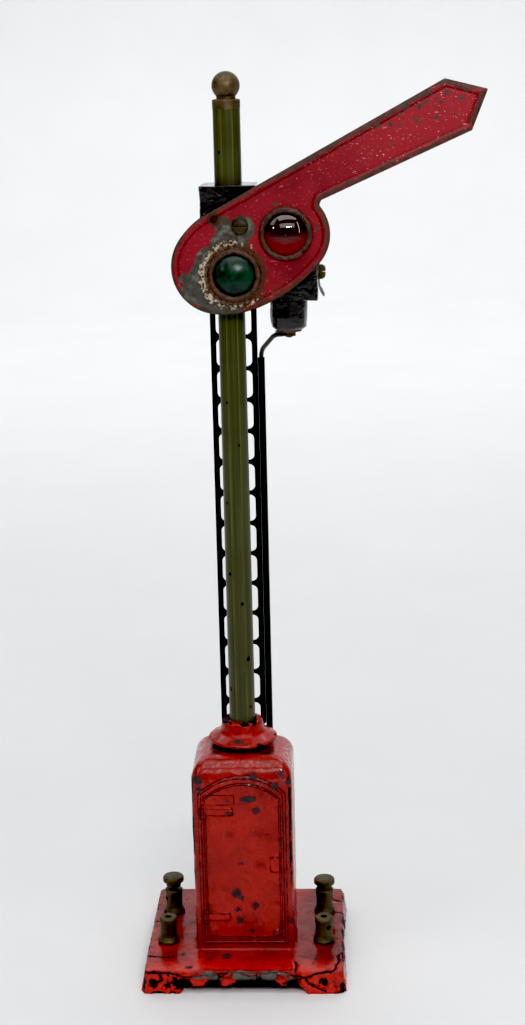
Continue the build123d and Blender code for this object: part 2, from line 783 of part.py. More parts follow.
for colour, place in (("red", RED_LENS), ("green", GREEN_LENS)):
    x, z = on_arm(place)
    keep(colour + "_bezel", turned(bezel_profile, (x, 0, z), FORWARD))
    keep(colour + "_lens", lens((x, 0, z)))

pin_profile = [
    (0, 5.9),
    (CRANK_PIN_R, 5.9),
    (CRANK_PIN_R, FIELD),
    (1.65, FIELD),
    (1.5, FIELD + 0.5),
    (0, FIELD + 0.8),
]
keep("crank_pin", turned(pin_profile, (PIN_X, 0, PIN_Z), FORWARD))

bush_profile = [
    (PIVOT_HOLE_R, -BRACKET_FRONT + 0.3),
    (3.6, -BRACKET_FRONT + 0.3),
    (3.6, -ARM_BACK_Y),
    (PIVOT_HOLE_R, -ARM_BACK_Y),
]
keep("pivot_bush", turned(bush_profile, (PIVOT_X, 0, PIVOT_Z), FORWARD))

pivot_screw = slotted_screw(
    (PIVOT_X, -FIELD - 0.3, PIVOT_Z),
    FORWARD,
    (1, 0, 0),
    3.4,
    1.7,
    PIVOT_R,
    FIELD + 0.3 + BRACKET_FRONT + BRACKET_WALL,
)
keep("pivot_screw", pivot_screw)

# ---- lamp house and lamp ------------------------------------------------------------------

HOUSE_MID_X = (BRACKET_HALF + HOUSE_RIGHT) / 2
HOUSE_MID_Y = (HOUSE_Y[0] + HOUSE_Y[1]) / 2
HOUSE_LONG = HOUSE_RIGHT - BRACKET_HALF
HOUSE_DEEP = HOUSE_Y[1] - HOUSE_Y[0]
RIVET_Y = (-6.0, 5.2)
RIVET_Z = (299.6, 318.6)

with BuildPart() as lamp_house:
    with BuildSketch(Plane.XY.offset(HOUSE_Z[0])):
        with Locations((HOUSE_MID_X, HOUSE_MID_Y)):
            RectangleRounded(HOUSE_LONG, HOUSE_DEEP, 1.4)
    extrude(amount=HOUSE_Z[1] - HOUSE_Z[0])
    fillet(lamp_house.faces().sort_by(Axis.Z)[-1].edges(), 1.2)
    with BuildSketch(Plane.XY.offset(HOUSE_Z[0] + HOUSE_WALL)):
        with Locations((HOUSE_MID_X, HOUSE_MID_Y)):
            Rectangle(HOUSE_LONG - 2 * HOUSE_WALL, HOUSE_DEEP - 2 * HOUSE_WALL)
    extrude(amount=HOUSE_Z[1] - HOUSE_Z[0] - 2 * HOUSE_WALL, mode=Mode.SUBTRACT)
    with BuildSketch(Plane.XZ):
        with Locations(WINDOW):
            Circle(WINDOW_R)
    extrude(amount=20, mode=Mode.SUBTRACT)
    with BuildSketch(Plane.XY.offset(HOUSE_Z[0] - 1)):
        with Locations((SOCKET_X, SOCKET_Y)):
            Circle(6.0)
    extrude(amount=HOUSE_WALL + 2, mode=Mode.SUBTRACT)
    with BuildSketch(Plane.YZ.offset(HOUSE_RIGHT - 4)):
        with Locations((0, SIDE_SCREW_Z)):
            Circle(1.2)
    extrude(amount=6, mode=Mode.SUBTRACT)

with BuildPart() as house_holes:
    with BuildSketch(Plane.YZ.offset(BRACKET_HALF - BRACKET_WALL - 1)):
        for y in RIVET_Y:
            with Locations((y, RIVET_Z[0]), (y, RIVET_Z[1])):
                Circle(0.9)
    extrude(amount=BRACKET_WALL + HOUSE_WALL + 2)
keep("lamp_house", lamp_house.part - house_holes.part)
keep("head_bracket", head_bracket.part - house_holes.part)

rivet_profile = [
    (0, -BRACKET_WALL - 0.5),
    (1.5, -BRACKET_WALL - 0.3),
    (1.6, -BRACKET_WALL),
    (0.9, -BRACKET_WALL),
    (0.9, HOUSE_WALL),
    (1.6, HOUSE_WALL),
    (1.3, HOUSE_WALL + 0.5),
    (0, HOUSE_WALL + 0.7),
]
rivets = [
    turned(rivet_profile, (BRACKET_HALF, y, z), (1, 0, 0), (0, 1, 0))
    for y in RIVET_Y
    for z in RIVET_Z
]
keep("lamp_house_rivets", together(rivets))

socket_profile = [
    (1.3, SOCKET_BOTTOM),
    (6.3, SOCKET_BOTTOM),
    (7.3, SOCKET_BOTTOM + 0.9),
    (7.6, SOCKET_BOTTOM + 3.0),
    (SOCKET_R, SOCKET_BOTTOM + 5.0),
    (SOCKET_R, HOUSE_Z[0]),
    (5.9, HOUSE_Z[0]),
    (5.9, SOCKET_NECK_TOP),
    (4.75, SOCKET_NECK_TOP),
    (4.75, SOCKET_BOTTOM + 2.6),
    (1.3, SOCKET_BOTTOM + 2.6),
]
keep("lamp_socket", turned(socket_profile, (SOCKET_X, SOCKET_Y, 0)))

insulator_profile = [
    (1.3, SOCKET_BOTTOM - 0.9),
    (5.2, SOCKET_BOTTOM - 0.9),
    (5.2, SOCKET_BOTTOM),
    (1.3, SOCKET_BOTTOM),
]
keep("socket_insulator", turned(insulator_profile, (SOCKET_X, SOCKET_Y, 0)))

TAG_Z = SOCKET_BOTTOM - 1.4

with BuildPart() as solder_tag:
    with BuildSketch(Plane.XY.offset(TAG_Z)):
        with Locations((SOCKET_X, SOCKET_Y)):
            Circle(3.0)
        with Locations((SOCKET_X - 3.2, SOCKET_Y)):
            Rectangle(5.2, 2.6)
        with Locations((SOCKET_X, SOCKET_Y)):
            Circle(1.3, mode=Mode.SUBTRACT)
    extrude(amount=0.5)
keep("solder_tag", solder_tag.part)

stud_profile = [
    (0, TAG_Z - 2.2),
    (1.0, TAG_Z - 2.2),
    (1.25, TAG_Z - 1.9),
    (1.25, SOCKET_BOTTOM + 2.6),
    (2.6, SOCKET_BOTTOM + 2.6),
    (2.4, SOCKET_BOTTOM + 3.4),
    (0, SOCKET_BOTTOM + 3.6),
]
keep("centre_contact", turned(stud_profile, (SOCKET_X, SOCKET_Y, 0)))
keep("contact_nut", hex_nut((SOCKET_X, SOCKET_Y, TAG_Z - 1.6), 4.8, 1.6, 1.25))

bulb_base_profile = [
    (0, SOCKET_BOTTOM + 3.7),
    (2.2, SOCKET_BOTTOM + 3.7),
    (4.6, SOCKET_BOTTOM + 5.4),
    (4.6, SOCKET_NECK_TOP + 0.6),
    (4.2, SOCKET_NECK_TOP + 1.2),
    (0, SOCKET_NECK_TOP + 1.2),
]
keep("bulb_base", turned(bulb_base_profile, (SOCKET_X, SOCKET_Y, 0)))

with BuildPart() as bulb_glass:
    with BuildSketch(Plane(origin=(SOCKET_X, SOCKET_Y, 0), x_dir=(1, 0, 0), z_dir=(0, -1, 0))):
        with BuildLine():
            low = SOCKET_NECK_TOP + 1.2
            neck = Polyline((0, low), (4.0, low), (4.0, low + 2.8))
            globe = ThreePointArc(neck @ 1, (5.8, low + 7.0), (0, low + 12.8))
            Line(globe @ 1, neck @ 0)
        make_face()
    revolve(axis=Axis((SOCKET_X, SOCKET_Y, 0), (0, 0, 1)))
keep("bulb_glass", bulb_glass.part)

# a round-headed screw on the house's right wall holds a bent tag
TAG_THICK = 0.5
keep(
    "side_screw",
    slotted_screw(
        (HOUSE_RIGHT + TAG_THICK, 0, SIDE_SCREW_Z), (1, 0, 0), (0, 1, 0), 3.0, 2.6, 1.2, 3.4
    ),
)

with BuildPart() as earth_tag:
    with BuildSketch(Plane.XZ.offset(-3.2)):
        with BuildLine():
            Polyline(
                (HOUSE_RIGHT, SIDE_SCREW_Z + 3.4),
                (HOUSE_RIGHT, SIDE_SCREW_Z - 6.0),
                (HOUSE_RIGHT + 2.2, SIDE_SCREW_Z - 9.6),
                (HOUSE_RIGHT + 2.7, SIDE_SCREW_Z - 9.3),
                (HOUSE_RIGHT + TAG_THICK, SIDE_SCREW_Z - 5.8),
                (HOUSE_RIGHT + TAG_THICK, SIDE_SCREW_Z + 3.4),
                close=True,
            )
        make_face()
    extrude(amount=6.4)
    with BuildSketch(Plane.YZ.offset(HOUSE_RIGHT - 1)):
        with Locations((0, SIDE_SCREW_Z)):
            Circle(1.2)
    extrude(amount=3, mode=Mode.SUBTRACT)
keep("earth_tag", earth_tag.part)

# ---- ladder, conduit and wiring -----------------------------------------------------------

with BuildPart() as ladder:
    with BuildSketch(Plane.XZ.offset(-LADDER_Y - LADDER_THICK)):
        with Locations((0, (LADDER_TOP + LADDER_BOTTOM) / 2)):
            RectangleRounded(2 * LADDER_HALF, LADDER_TOP - LADDER_BOTTOM, 0.8)
        for rung in range(RUNG_COUNT):
            middle = LOW_RUNG_Z + (rung + 0.5) * RUNG_PITCH
            with Locations((0, middle)):
                RectangleRounded(
                    2 * WINDOW_HALF,
                    RUNG_PITCH - RUNG_HEIGHT,
                    WINDOW_CORNER_R,
                    mode=Mode.SUBTRACT,
                )
        foot_window_top = LOW_RUNG_Z - RUNG_HEIGHT / 2
        with Locations((0, foot_window_top - 10)):
            RectangleRounded(2 * WINDOW_HALF, 20, WINDOW_CORNER_R, mode=Mode.SUBTRACT)
        with Locations((0, LADDER_SCREW_Z)):
            Circle(1.3, mode=Mode.SUBTRACT)
        for side in (-1, 1):
            with Locations((side * LADDER_SLOT_X, LADDER_FOOT + 1.5)):
                Rectangle(1.5, 3.0)
    extrude(amount=LADDER_THICK)
keep("ladder", ladder.part)

ladder_screw = slotted_screw(
    (0, LADDER_Y + LADDER_THICK, LADDER_SCREW_Z), BACKWARDS, (1, 0, 0), 2.4, 1.3, 1.2, 3.4
)
keep("ladder_screw", ladder_screw)

with BuildPart() as conduit:
    with BuildSketch(Plane(origin=(CONDUIT_X, CONDUIT_Y, CONDUIT_Z[0]))):
        Circle(CONDUIT_R)
        Circle(CONDUIT_BORE_R, mode=Mode.SUBTRACT)
    extrude(amount=CONDUIT_Z[1] - CONDUIT_Z[0])
keep("conduit", conduit.part)

# lamp lead: from the tag under the socket, down the conduit, under the plate to a post's nut
LEAD_ROUTE = [
    (20.7, SOCKET_Y, TAG_Z - LEAD_R),
    (17.4, 1.2, TAG_Z - LEAD_R - 0.4),
    (CONDUIT_X, CONDUIT_Y, 269.0),
    (CONDUIT_X, CONDUIT_Y, WIRE_RUN_Z),
    (POST_X - 3.6, POST_Y, WIRE_RUN_Z),
]
keep("lamp_lead", wire(LEAD_R, LEAD_ROUTE, 6))

for side, sign in (("left", -1), ("right", 1)):
    route = [
        (sign * 7.6, -8.6, COIL_BOTTOM + 2.4),
        (sign * CONDUIT_X, -CONDUIT_Y, COIL_BOTTOM + 2.4),
        (sign * CONDUIT_X, -CONDUIT_Y, WIRE_RUN_Z),
        (sign * (POST_X - 3.6), -POST_Y, WIRE_RUN_Z),
    ]
    keep("coil_lead_" + side, wire(COIL_WIRE_R, route, 1.4))

earth_route = [
    (-CONDUIT_X, CONDUIT_Y, frame_under),
    (-CONDUIT_X, CONDUIT_Y, WIRE_RUN_Z),
    (-POST_X + 3.6, POST_Y, WIRE_RUN_Z),
]
keep("earth_lead", wire(COIL_WIRE_R, earth_route, 1.4))

# ---- write every piece --------------------------------------------------------------------

os.makedirs("parts", exist_ok=True)
for name, part in pieces.items():
    export_step(part, "parts/" + name + ".step")
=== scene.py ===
import bpy
import itertools
import json
import math
import numpy as np
from mathutils import Matrix, Vector

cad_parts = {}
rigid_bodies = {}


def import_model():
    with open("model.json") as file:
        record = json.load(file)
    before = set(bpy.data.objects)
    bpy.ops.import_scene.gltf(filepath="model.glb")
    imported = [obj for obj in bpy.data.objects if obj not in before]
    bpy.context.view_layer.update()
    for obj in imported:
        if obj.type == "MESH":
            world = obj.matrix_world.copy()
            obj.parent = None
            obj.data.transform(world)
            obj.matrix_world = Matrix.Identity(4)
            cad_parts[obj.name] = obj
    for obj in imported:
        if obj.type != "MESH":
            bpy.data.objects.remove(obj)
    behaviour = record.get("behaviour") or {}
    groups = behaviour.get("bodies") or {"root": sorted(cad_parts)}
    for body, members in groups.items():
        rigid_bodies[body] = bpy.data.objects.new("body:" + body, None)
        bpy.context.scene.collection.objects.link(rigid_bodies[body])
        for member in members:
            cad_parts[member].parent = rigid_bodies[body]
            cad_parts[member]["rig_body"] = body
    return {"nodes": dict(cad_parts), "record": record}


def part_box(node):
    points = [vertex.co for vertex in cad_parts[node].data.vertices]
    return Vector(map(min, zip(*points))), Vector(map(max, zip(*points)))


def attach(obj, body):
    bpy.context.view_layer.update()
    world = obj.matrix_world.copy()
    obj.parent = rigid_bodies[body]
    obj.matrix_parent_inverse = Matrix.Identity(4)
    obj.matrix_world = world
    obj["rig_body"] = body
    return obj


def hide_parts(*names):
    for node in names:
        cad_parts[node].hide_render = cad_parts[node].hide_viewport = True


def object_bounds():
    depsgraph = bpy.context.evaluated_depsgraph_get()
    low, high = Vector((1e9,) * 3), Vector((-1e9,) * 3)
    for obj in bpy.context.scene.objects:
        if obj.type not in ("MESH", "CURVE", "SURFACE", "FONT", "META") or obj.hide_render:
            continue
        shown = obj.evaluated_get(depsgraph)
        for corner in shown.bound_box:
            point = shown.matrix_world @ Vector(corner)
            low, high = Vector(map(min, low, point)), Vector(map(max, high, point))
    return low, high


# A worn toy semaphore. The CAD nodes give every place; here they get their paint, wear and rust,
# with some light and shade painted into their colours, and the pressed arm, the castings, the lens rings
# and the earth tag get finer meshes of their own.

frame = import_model()
cad_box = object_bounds()

MM = 0.001
FAR = 1e9
ARM_TILT = math.radians(25.9)

# ---- material graphs ----------------------------------------------------------------------


class Graph:
    """One material's nodes. Sockets are passed about as values; plain numbers are set."""

    def __init__(self, name):
        self.material = bpy.data.materials.new(name)
        self.material.use_nodes = True
        self.tree = self.material.node_tree
        self.tree.nodes.clear()
        self.shader = self.node("ShaderNodeBsdfPrincipled")
        output = self.node("ShaderNodeOutputMaterial")
        self.tree.links.new(self.shader.outputs["BSDF"], output.inputs["Surface"])
        self.point = self.node("ShaderNodeTexCoord").outputs["Object"]
        self.bump_normal = None

    def node(self, kind, **settings):
        made = self.tree.nodes.new(kind)
        for key, value in settings.items():
            setattr(made, key, value)
        return made

    def feed(self, socket, value):
        if isinstance(value, bpy.types.NodeSocket):
            self.tree.links.new(value, socket)
        elif value is not None:
            socket.default_value = value

    def math(self, operation, *values, clamp=False):
        made = self.node("ShaderNodeMath", operation=operation, use_clamp=clamp)
        for socket, value in zip(made.inputs, values):
            self.feed(socket, value)
        return made.outputs[0]

    def vector(self, operation, *values):
        made = self.node("ShaderNodeVectorMath", operation=operation)
        for socket, value in zip(made.inputs, values):
            self.feed(socket, value)
        is_number = operation in ("DISTANCE", "DOT_PRODUCT", "LENGTH")
        return made.outputs["Value" if is_number else "Vector"]

    def axis(self, index, where=None):
        made = self.node("ShaderNodeSeparateXYZ")
        self.feed(made.inputs[0], where or self.point)
        return made.outputs[index]

    def noise(self, size, detail=3.0, stretch=None, where=None, colour=False, shift=0.0):
        """Noise from 0 to 1 whose features are about size millimetres across."""
        where = where or self.point
        if stretch:
            where = self.vector("MULTIPLY", where, stretch)
        if shift:
            where = self.vector("ADD", where, (shift, shift * 0.7, -shift))
        made = self.node("ShaderNodeTexNoise")
        self.feed(made.inputs["Vector"], where)
        made.inputs["Scale"].default_value = 1.0 / (size * MM)
        made.inputs["Detail"].default_value = detail
        made.inputs["Roughness"].default_value = 0.6
        return made.outputs["Color" if colour else "Fac"]

    def fade(self, value, low, high, to_low=0.0, to_high=1.0):
        """0 at low, 1 at high and eased between them, or the numbers given in their place."""
        made = self.node("ShaderNodeMapRange", interpolation_type="SMOOTHSTEP")
        for socket, number in zip(made.inputs, (value, low, high, to_low, to_high)):
            self.feed(socket, number)
        return made.outputs["Result"]

    def mix(self, amount, first, second):
        """From the first colour at 0 to the second at 1."""
        made = self.node("ShaderNodeMix", data_type="RGBA")
        self.feed(made.inputs["Factor"], amount)
        self.feed(made.inputs[6], first)
        self.feed(made.inputs[7], second)
        return made.outputs[2]

    def blend(self, amount, first, second):
        """From the first number at 0 to the second at 1."""
        made = self.node("ShaderNodeMix", data_type="FLOAT")
        self.feed(made.inputs["Factor"], amount)
        self.feed(made.inputs[2], first)
        self.feed(made.inputs[3], second)
        return made.outputs[0]

    def chain(self, operation, values):
        """The operation over all the values, taken from the left."""
        total = values[0]
        for value in values[1:]:
            total = self.math(operation, total, value)
        return total

    def times(self, *values):
        return self.chain("MULTIPLY", values)

    def most(self, *values):
        return self.chain("MAXIMUM", values)

    def least(self, *values):
        return self.chain("MINIMUM", values)

    def apart(self, value, other):
        """How far the two numbers are from each other."""
        return self.math("ABSOLUTE", self.math("SUBTRACT", value, other))

    def field(self, name):
        """A number stored at the mesh's points, 0 on a mesh that has none of that name."""
        return self.node("ShaderNodeAttribute", attribute_name=name).outputs["Fac"]

    def seams(self, path, where):
        """How far it is, in metres, to the nearest of a chain of straight lines given in millimetres."""
        gaps = []
        for start, end in zip(path, path[1:]):
            start, end = Vector(start) * MM, Vector(end) * MM
            run = end - start
            along = self.vector("DOT_PRODUCT", self.vector("SUBTRACT", where, tuple(start)), tuple(run))
            share = self.math("DIVIDE", along, run.length_squared, clamp=True)
            foot = self.node("ShaderNodeMix", data_type="VECTOR")
            self.feed(foot.inputs["Factor"], share)
            foot.inputs[4].default_value = start
            foot.inputs[5].default_value = end
            gaps.append(self.vector("DISTANCE", where, foot.outputs[1]))
        return self.least(*gaps)

    def door_lines(self, where):
        """How far it is across the front, in metres, to the nearest edge of the door's raised bands."""
        aside = self.math("ABSOLUTE", self.axis(0, where))
        height = self.axis(2, where)
        gaps = []
        for half_width, bottom, springing, crown, band in DOOR_BANDS:
            centre, radius = arch(half_width, springing, crown)
            above = self.math("MAXIMUM", self.math("SUBTRACT", height, centre * MM), 0.0)
            square = self.math("ADD", self.times(aside, aside), self.times(above, above))
            round_top = self.math("POWER", square, 0.5)
            out = self.most(self.math("SUBTRACT", round_top, radius * MM),
                            self.math("SUBTRACT", aside, half_width * MM),
                            self.math("SUBTRACT", bottom * MM, height))
            for inset in (0, band):
                gaps.append(self.math("ABSOLUTE", self.math("ADD", out, inset * MM)))
        return self.least(*gaps)

    def frames(self, where, panels):
        """How far it is, in metres, to the nearest outline of a flat panel. Each panel is given as
        x, z, half width and half height in millimetres."""
        gaps = []
        for x, z, half_width, half_height in panels:
            aside = self.apart(self.axis(0, where), x * MM)
            above = self.apart(self.axis(2, where), z * MM)
            out = self.most(self.math("SUBTRACT", aside, half_width * MM),
                            self.math("SUBTRACT", above, half_height * MM))
            gaps.append(self.math("ABSOLUTE", out))
        return self.least(*gaps)

    def crevices(self, reach, low=0.35, high=0.8):
        """1 deep in corners that are closer than the reach in millimetres."""
        air = self.node("ShaderNodeAmbientOcclusion", samples=6, only_local=True)
        air.inputs["Distance"].default_value = reach * MM
        return self.fade(air.outputs["AO"], high, low)

    def ragged(self, wobble, size, detail=4.0):
        """The point, pushed about by noise, so that what is drawn from it has a torn edge."""
        push = self.vector("SUBTRACT", self.noise(size, detail, colour=True), (0.5, 0.5, 0.5))
        push = self.vector("MULTIPLY", push, (wobble * MM,) * 3)
        return self.vector("ADD", self.point, push)

    def patches(self, places, where, squeeze=(1, 1, 1), soft=0.12):
        """1 in patches round the places, each (x, y, z, radius) in millimetres."""
        reaches = []
        stretched = self.vector("MULTIPLY", where, squeeze)
        for x, y, z, radius in places:
            middle = (x * squeeze[0] * MM, y * squeeze[1] * MM, z * squeeze[2] * MM)
            reaches.append(self.math("DIVIDE", self.vector("DISTANCE", stretched, middle), radius * MM))
        return self.fade(self.least(*reaches), 1 + soft, 1 - soft)

    def edges(self, radius, keep=0.04, full=0.16):
        """1 on outer edges, fading out within the radius in millimetres."""
        bevel = self.node("ShaderNodeBevel", samples=5)
        bevel.inputs["Radius"].default_value = radius * MM
        flat = self.node("ShaderNodeNewGeometry").outputs["Normal"]
        turn = self.math("SUBTRACT", 1.0, self.vector("DOT_PRODUCT", bevel.outputs[0], flat))
        open_air = self.node("ShaderNodeAmbientOcclusion", samples=5, only_local=True)
        open_air.inputs["Distance"].default_value = 1.6 * radius * MM
        outer = self.fade(open_air.outputs["AO"], 0.72, 0.95)
        return self.times(self.fade(turn, keep, full), outer)

    def soften(self, radius):
        """Shading rounds the edges over the radius in millimetres."""
        bevel = self.node("ShaderNodeBevel", samples=4)
        bevel.inputs["Radius"].default_value = radius * MM
        self.bump_normal = bevel.outputs[0]

    def bump(self, height, depth, strength=1.0):
        """Adds relief: height runs from 0 to 1, depth is in millimetres."""
        made = self.node("ShaderNodeBump")
        made.inputs["Strength"].default_value = strength
        made.inputs["Distance"].default_value = depth * MM
        self.feed(made.inputs["Height"], height)
        if self.bump_normal:
            self.feed(made.inputs["Normal"], self.bump_normal)
        self.bump_normal = made.outputs[0]

    def finish(self, colour, roughness, metallic=0.0, **extra):
        self.feed(self.shader.inputs["Base Color"], colour)
        self.feed(self.shader.inputs["Roughness"], roughness)
        self.feed(self.shader.inputs["Metallic"], metallic)
        for name, value in extra.items():
            self.feed(self.shader.inputs[name.replace("_", " ")], value)
        if self.bump_normal:
            self.feed(self.shader.inputs["Normal"], self.bump_normal)
        return self.material


def rgb(*shown):
    """A colour given as it looks on a screen, red, green and blue from 0 to 255, by the sRGB curve."""
    linear = [((c / 255 + 0.055) / 1.055) ** 2.4 if c > 10 else c / 3295 for c in shown]
    return (*linear, 1.0)


# the cracks in the base plate: down its front face in X and Z, and across its top in X and Y
FRONT_CRACKS = [
    [(-43.5, 9.4), (-38, 9.2), (-32, 8.9), (-25.5, 7.2), (-17, 7.4), (-11.6, 8.4), (-2.3, 9.3),
     (7.6, 8.9), (15, 9.4), (22, 7.7), (26.5, 6.8), (31, 8.9), (37.5, 9.8)],
    [(26.5, 6.8), (27.8, 4.6), (31.8, 2.4), (35, 1.2)],
    [(-25.5, 7.2), (-26.3, 4.8), (-27.4, 3.2)],
    [(-36, 9.0), (-35, 6.2), (-38, 4.6)],
]
TOP_CRACKS = [
    [(36, -41.9), (39, -40.2), (39.6, -36), (40.8, -33.5), (40.2, -28), (42, -25)],
    [(-42, -28), (-36, -29), (-31, -28.6)],
    [(41.5, 24), (37, 26), (35.4, 31), (36.6, 37)],
    [(42, 12), (37.5, 13.5), (33, 12.8)],
    [(-42, 4), (-38, 5.5), (-35, 4.6)],
    [(22, -41), (22.6, -36), (21.8, -33)],
]


def flat_paths(paths, upright):
    """The same chains as points in space, with Y or Z left at 0."""
    return [[(a, 0, b) if upright else (a, b, 0) for a, b in path] for path in paths]


# the small plates cast on the door, straps, keyhole and bolts: X, Z, half width, half height
DOOR_PLATES = [
    (-10.8, 75.0, 6.8, 1.6), (-11.9, 25.8, 5.7, 1.6), (-16.8, 75.0, 1.2, 3.2), (-16.8, 25.8, 1.2, 3.2),
    (13.8, 50.4, 2.1, 3.4), (-13.9, 18.2, 1.2, 1.2), (13.9, 18.2, 1.2, 1.2), (-10.0, 80.4, 6.6, 2.2),
]
# the door's raised bands: half width, bottom, springing and crown of the outer edge, and its width
DOOR_BANDS = [(18.7, 13.2, 83.4, 91.4, 1.2), (16.5, 15.5, 80.8, 88.0, 0.8)]


def arch(half_width, springing, crown):
    """The height of the centre and the radius of an arch that springs and crowns at those heights."""
    rise = crown - springing
    radius = (half_width**2 + rise**2) / (2 * rise)
    return crown - radius, radius


# ---- materials ----------------------------------------------------------------------------


def red_enamel():
    """Thick enamel on a die casting: orange peel, runs, chips to dark metal, black edges and cracks;
    light and shade are painted in too: a lighter front, darker corners and creases, dark lines round the
    door's bands and plates, and black shadow under the collar's flange and low on the skirt.
    """
    g = Graph("red_enamel")
    torn = g.ragged(3.6, 2.2, 6)
    shaky = g.ragged(1.3, 1.6, 4)
    tower_chips = g.patches(
        [(-1.4, -22, 97.5, 1.0), (-18.7, -22, 89.5, 2.2), (-18.2, -22, 85.3, 1.5),
         (-15.9, -22, 93, 1.1), (5, -22, 90.8, 1.5), (14.3, -22, 86.5, 1.6),
         (20.6, -22, 88.5, 1.8), (17.2, -22, 92.5, 1.6), (6.2, -22, 75.6, 1.7),
         (-6.2, -22, 80, 0.9), (-6, -22, 74.3, 1.3), (-3.4, -22, 37, 2.3),
         (-1.2, -22, 34.6, 1.4), (4.9, -22, 31, 1.6), (-2.8, -22, 29, 1.1),
         (-2, -22, 24, 1.6), (3.2, -22, 19, 1.0), (-15.5, -22, 31.2, 0.9),
         (20.6, -22, 23.5, 1.5)],
        torn, soft=0.35)
    scuffs = g.patches(
        [(2.7, -22, 80.6, 3.4), (-8, -28, 10, 2.2), (-23.6, -38, 10, 1.6), (-27, -26.5, 10, 1.2),
         (31, -30, 10, 0.9), (-1.4, -12.4, 103.2, 1.9), (1.6, -13, 102.2, 1.2)],
        torn, squeeze=(1, 1, 2.2))
    scatter = g.fade(g.noise(4.2, 5, shift=0.31), 0.70, 0.72)
    rubbed = g.times(g.edges(2.2, 0.02, 0.1), g.fade(g.noise(9, 5), 0.55, 0.6))

    # the tower's upright corners are bare and black in long runs, more on the right
    side, depth, height = (g.axis(index) for index in range(3))
    span = g.times(g.fade(height, 0.036, 0.046), g.fade(height, 0.094, 0.088))
    ragged_side = g.axis(0, shaky)
    tall = (1, 1, 0.6)
    left_run = g.times(g.fade(ragged_side, -0.0204, -0.0209),
                       g.fade(g.noise(13, 4, stretch=tall, shift=0.4), 0.40, 0.45))
    right_run = g.times(g.fade(ragged_side, 0.0198, 0.0203), g.fade(ragged_side, 0.0214, 0.0209),
                        g.fade(g.noise(9, 5, stretch=tall, shift=0.13), 0.41, 0.46))
    upright = g.times(g.most(left_run, right_run), span, g.fade(depth, -0.0125, -0.0145))

    # flaked plate edges, and cracks drawn along their own lines
    lost = g.field("lost")
    frayed = g.times(g.math("SUBTRACT", g.noise(1.8, 4), 0.5), 0.16)
    flaked = g.fade(g.math("ADD", lost, frayed), 0.5, 0.54)
    width = g.blend(g.noise(6, 2), 0.0001, 0.0007)
    cracks = []
    on_front = g.fade(depth, -0.0395, -0.0405)
    on_top = g.fade(height, 0.0086, 0.0092)
    for paths, standing, here in ((FRONT_CRACKS, True, on_front), (TOP_CRACKS, False, on_top)):
        where = g.vector("MULTIPLY", shaky, (1, 0, 1) if standing else (1, 1, 0))
        for path in flat_paths(paths, standing):
            drawn = g.fade(g.math("SUBTRACT", g.seams(path, where), width), 0.0002, 0.0)
            cracks.append(g.times(drawn, here, g.fade(height, 0.0112, 0.0106)))
    crack = g.most(*cracks)
    # a black crack under the collar's flange, which also lays painted shadow in the gap below the flange
    collar_crack_and_shadow = g.times(g.fade(height, 0.1000, 0.0995), g.fade(height, 0.0979, 0.0983),
                          g.fade(g.noise(5, 4, shift=2.2), 0.4, 0.45))
    hairline = g.node("ShaderNodeTexVoronoi", feature="DISTANCE_TO_EDGE")
    g.feed(hairline.inputs["Vector"], shaky)
    hairline.inputs["Scale"].default_value = 75
    hairlines = g.times(g.fade(hairline.outputs["Distance"], 0.016, 0.006),
                        g.fade(g.noise(16, 2, shift=0.77), 0.55, 0.6), g.fade(height, 0.0112, 0.0104))

    bare = g.most(tower_chips, scuffs, scatter, g.times(rubbed, 0.9))
    black = g.most(crack, upright, flaked, collar_crack_and_shadow, g.times(hairlines, 0.7))
    enamel = g.mix(g.fade(g.noise(26, 3), 0.35, 0.7), rgb(170, 43, 36), rgb(140, 36, 31))
    # painted light: the base's front, plate top and skirt, a lighter red than the rest of the enamel
    painted_light_front = g.times(g.fade(height, 0.0125, 0.0105), g.fade(depth, -0.028, -0.038))
    enamel = g.mix(g.times(painted_light_front, 0.6), enamel, rgb(208, 50, 40))
    pits = g.times(g.fade(g.noise(1.2, 4, shift=8), 0.60, 0.66),
                   g.fade(g.noise(14, 3, shift=9), 0.35, 0.7, 0.25, 0.9))
    smudge = g.times(g.fade(g.noise(8, 5, shift=3.3), 0.54, 0.68), 0.5)
    enamel = g.mix(g.most(pits, smudge), enamel, rgb(72, 10, 10))
    # painted shade: broad darkening, in patches, in the corners, such as the plate beside the tower
    painted_corner_shade = g.times(g.crevices(9, 0.35, 0.85), g.fade(g.noise(6, 4), 0.2, 0.7))
    enamel = g.mix(g.times(painted_corner_shade, 0.7), enamel, rgb(96, 14, 14))
    # painted shade and grime in the small creases
    enamel = g.mix(g.times(g.crevices(0.6, 0.68, 0.92), 0.6), enamel, rgb(66, 8, 8))
    # painted shadow and grime: dark lines along the edges of the door's bands and cast plates
    on_face = g.times(g.fade(depth, -0.0206, -0.0212), g.fade(depth, -0.0262, -0.0252))
    drawn_at = g.ragged(0.35, 3, 2)
    door = g.least(g.door_lines(drawn_at), g.frames(drawn_at, DOOR_PLATES))
    door = g.times(g.fade(door, 0.00034, 0.00015), on_face,
                   g.fade(g.noise(5, 4, shift=6), 0.35, 0.55, 0.3, 1.0))
    enamel = g.mix(door, enamel, rgb(44, 6, 7))
    from_middle = g.math("ABSOLUTE", side)
    grime = g.times(g.fade(from_middle, 0.019, 0.028), g.fade(g.noise(9, 4, shift=5), 0.3, 0.6),
                    g.fade(height, 0.03, 0.012), g.fade(depth, -0.040, -0.030))
    enamel = g.mix(g.times(grime, 0.55), enamel, rgb(70, 12, 12))
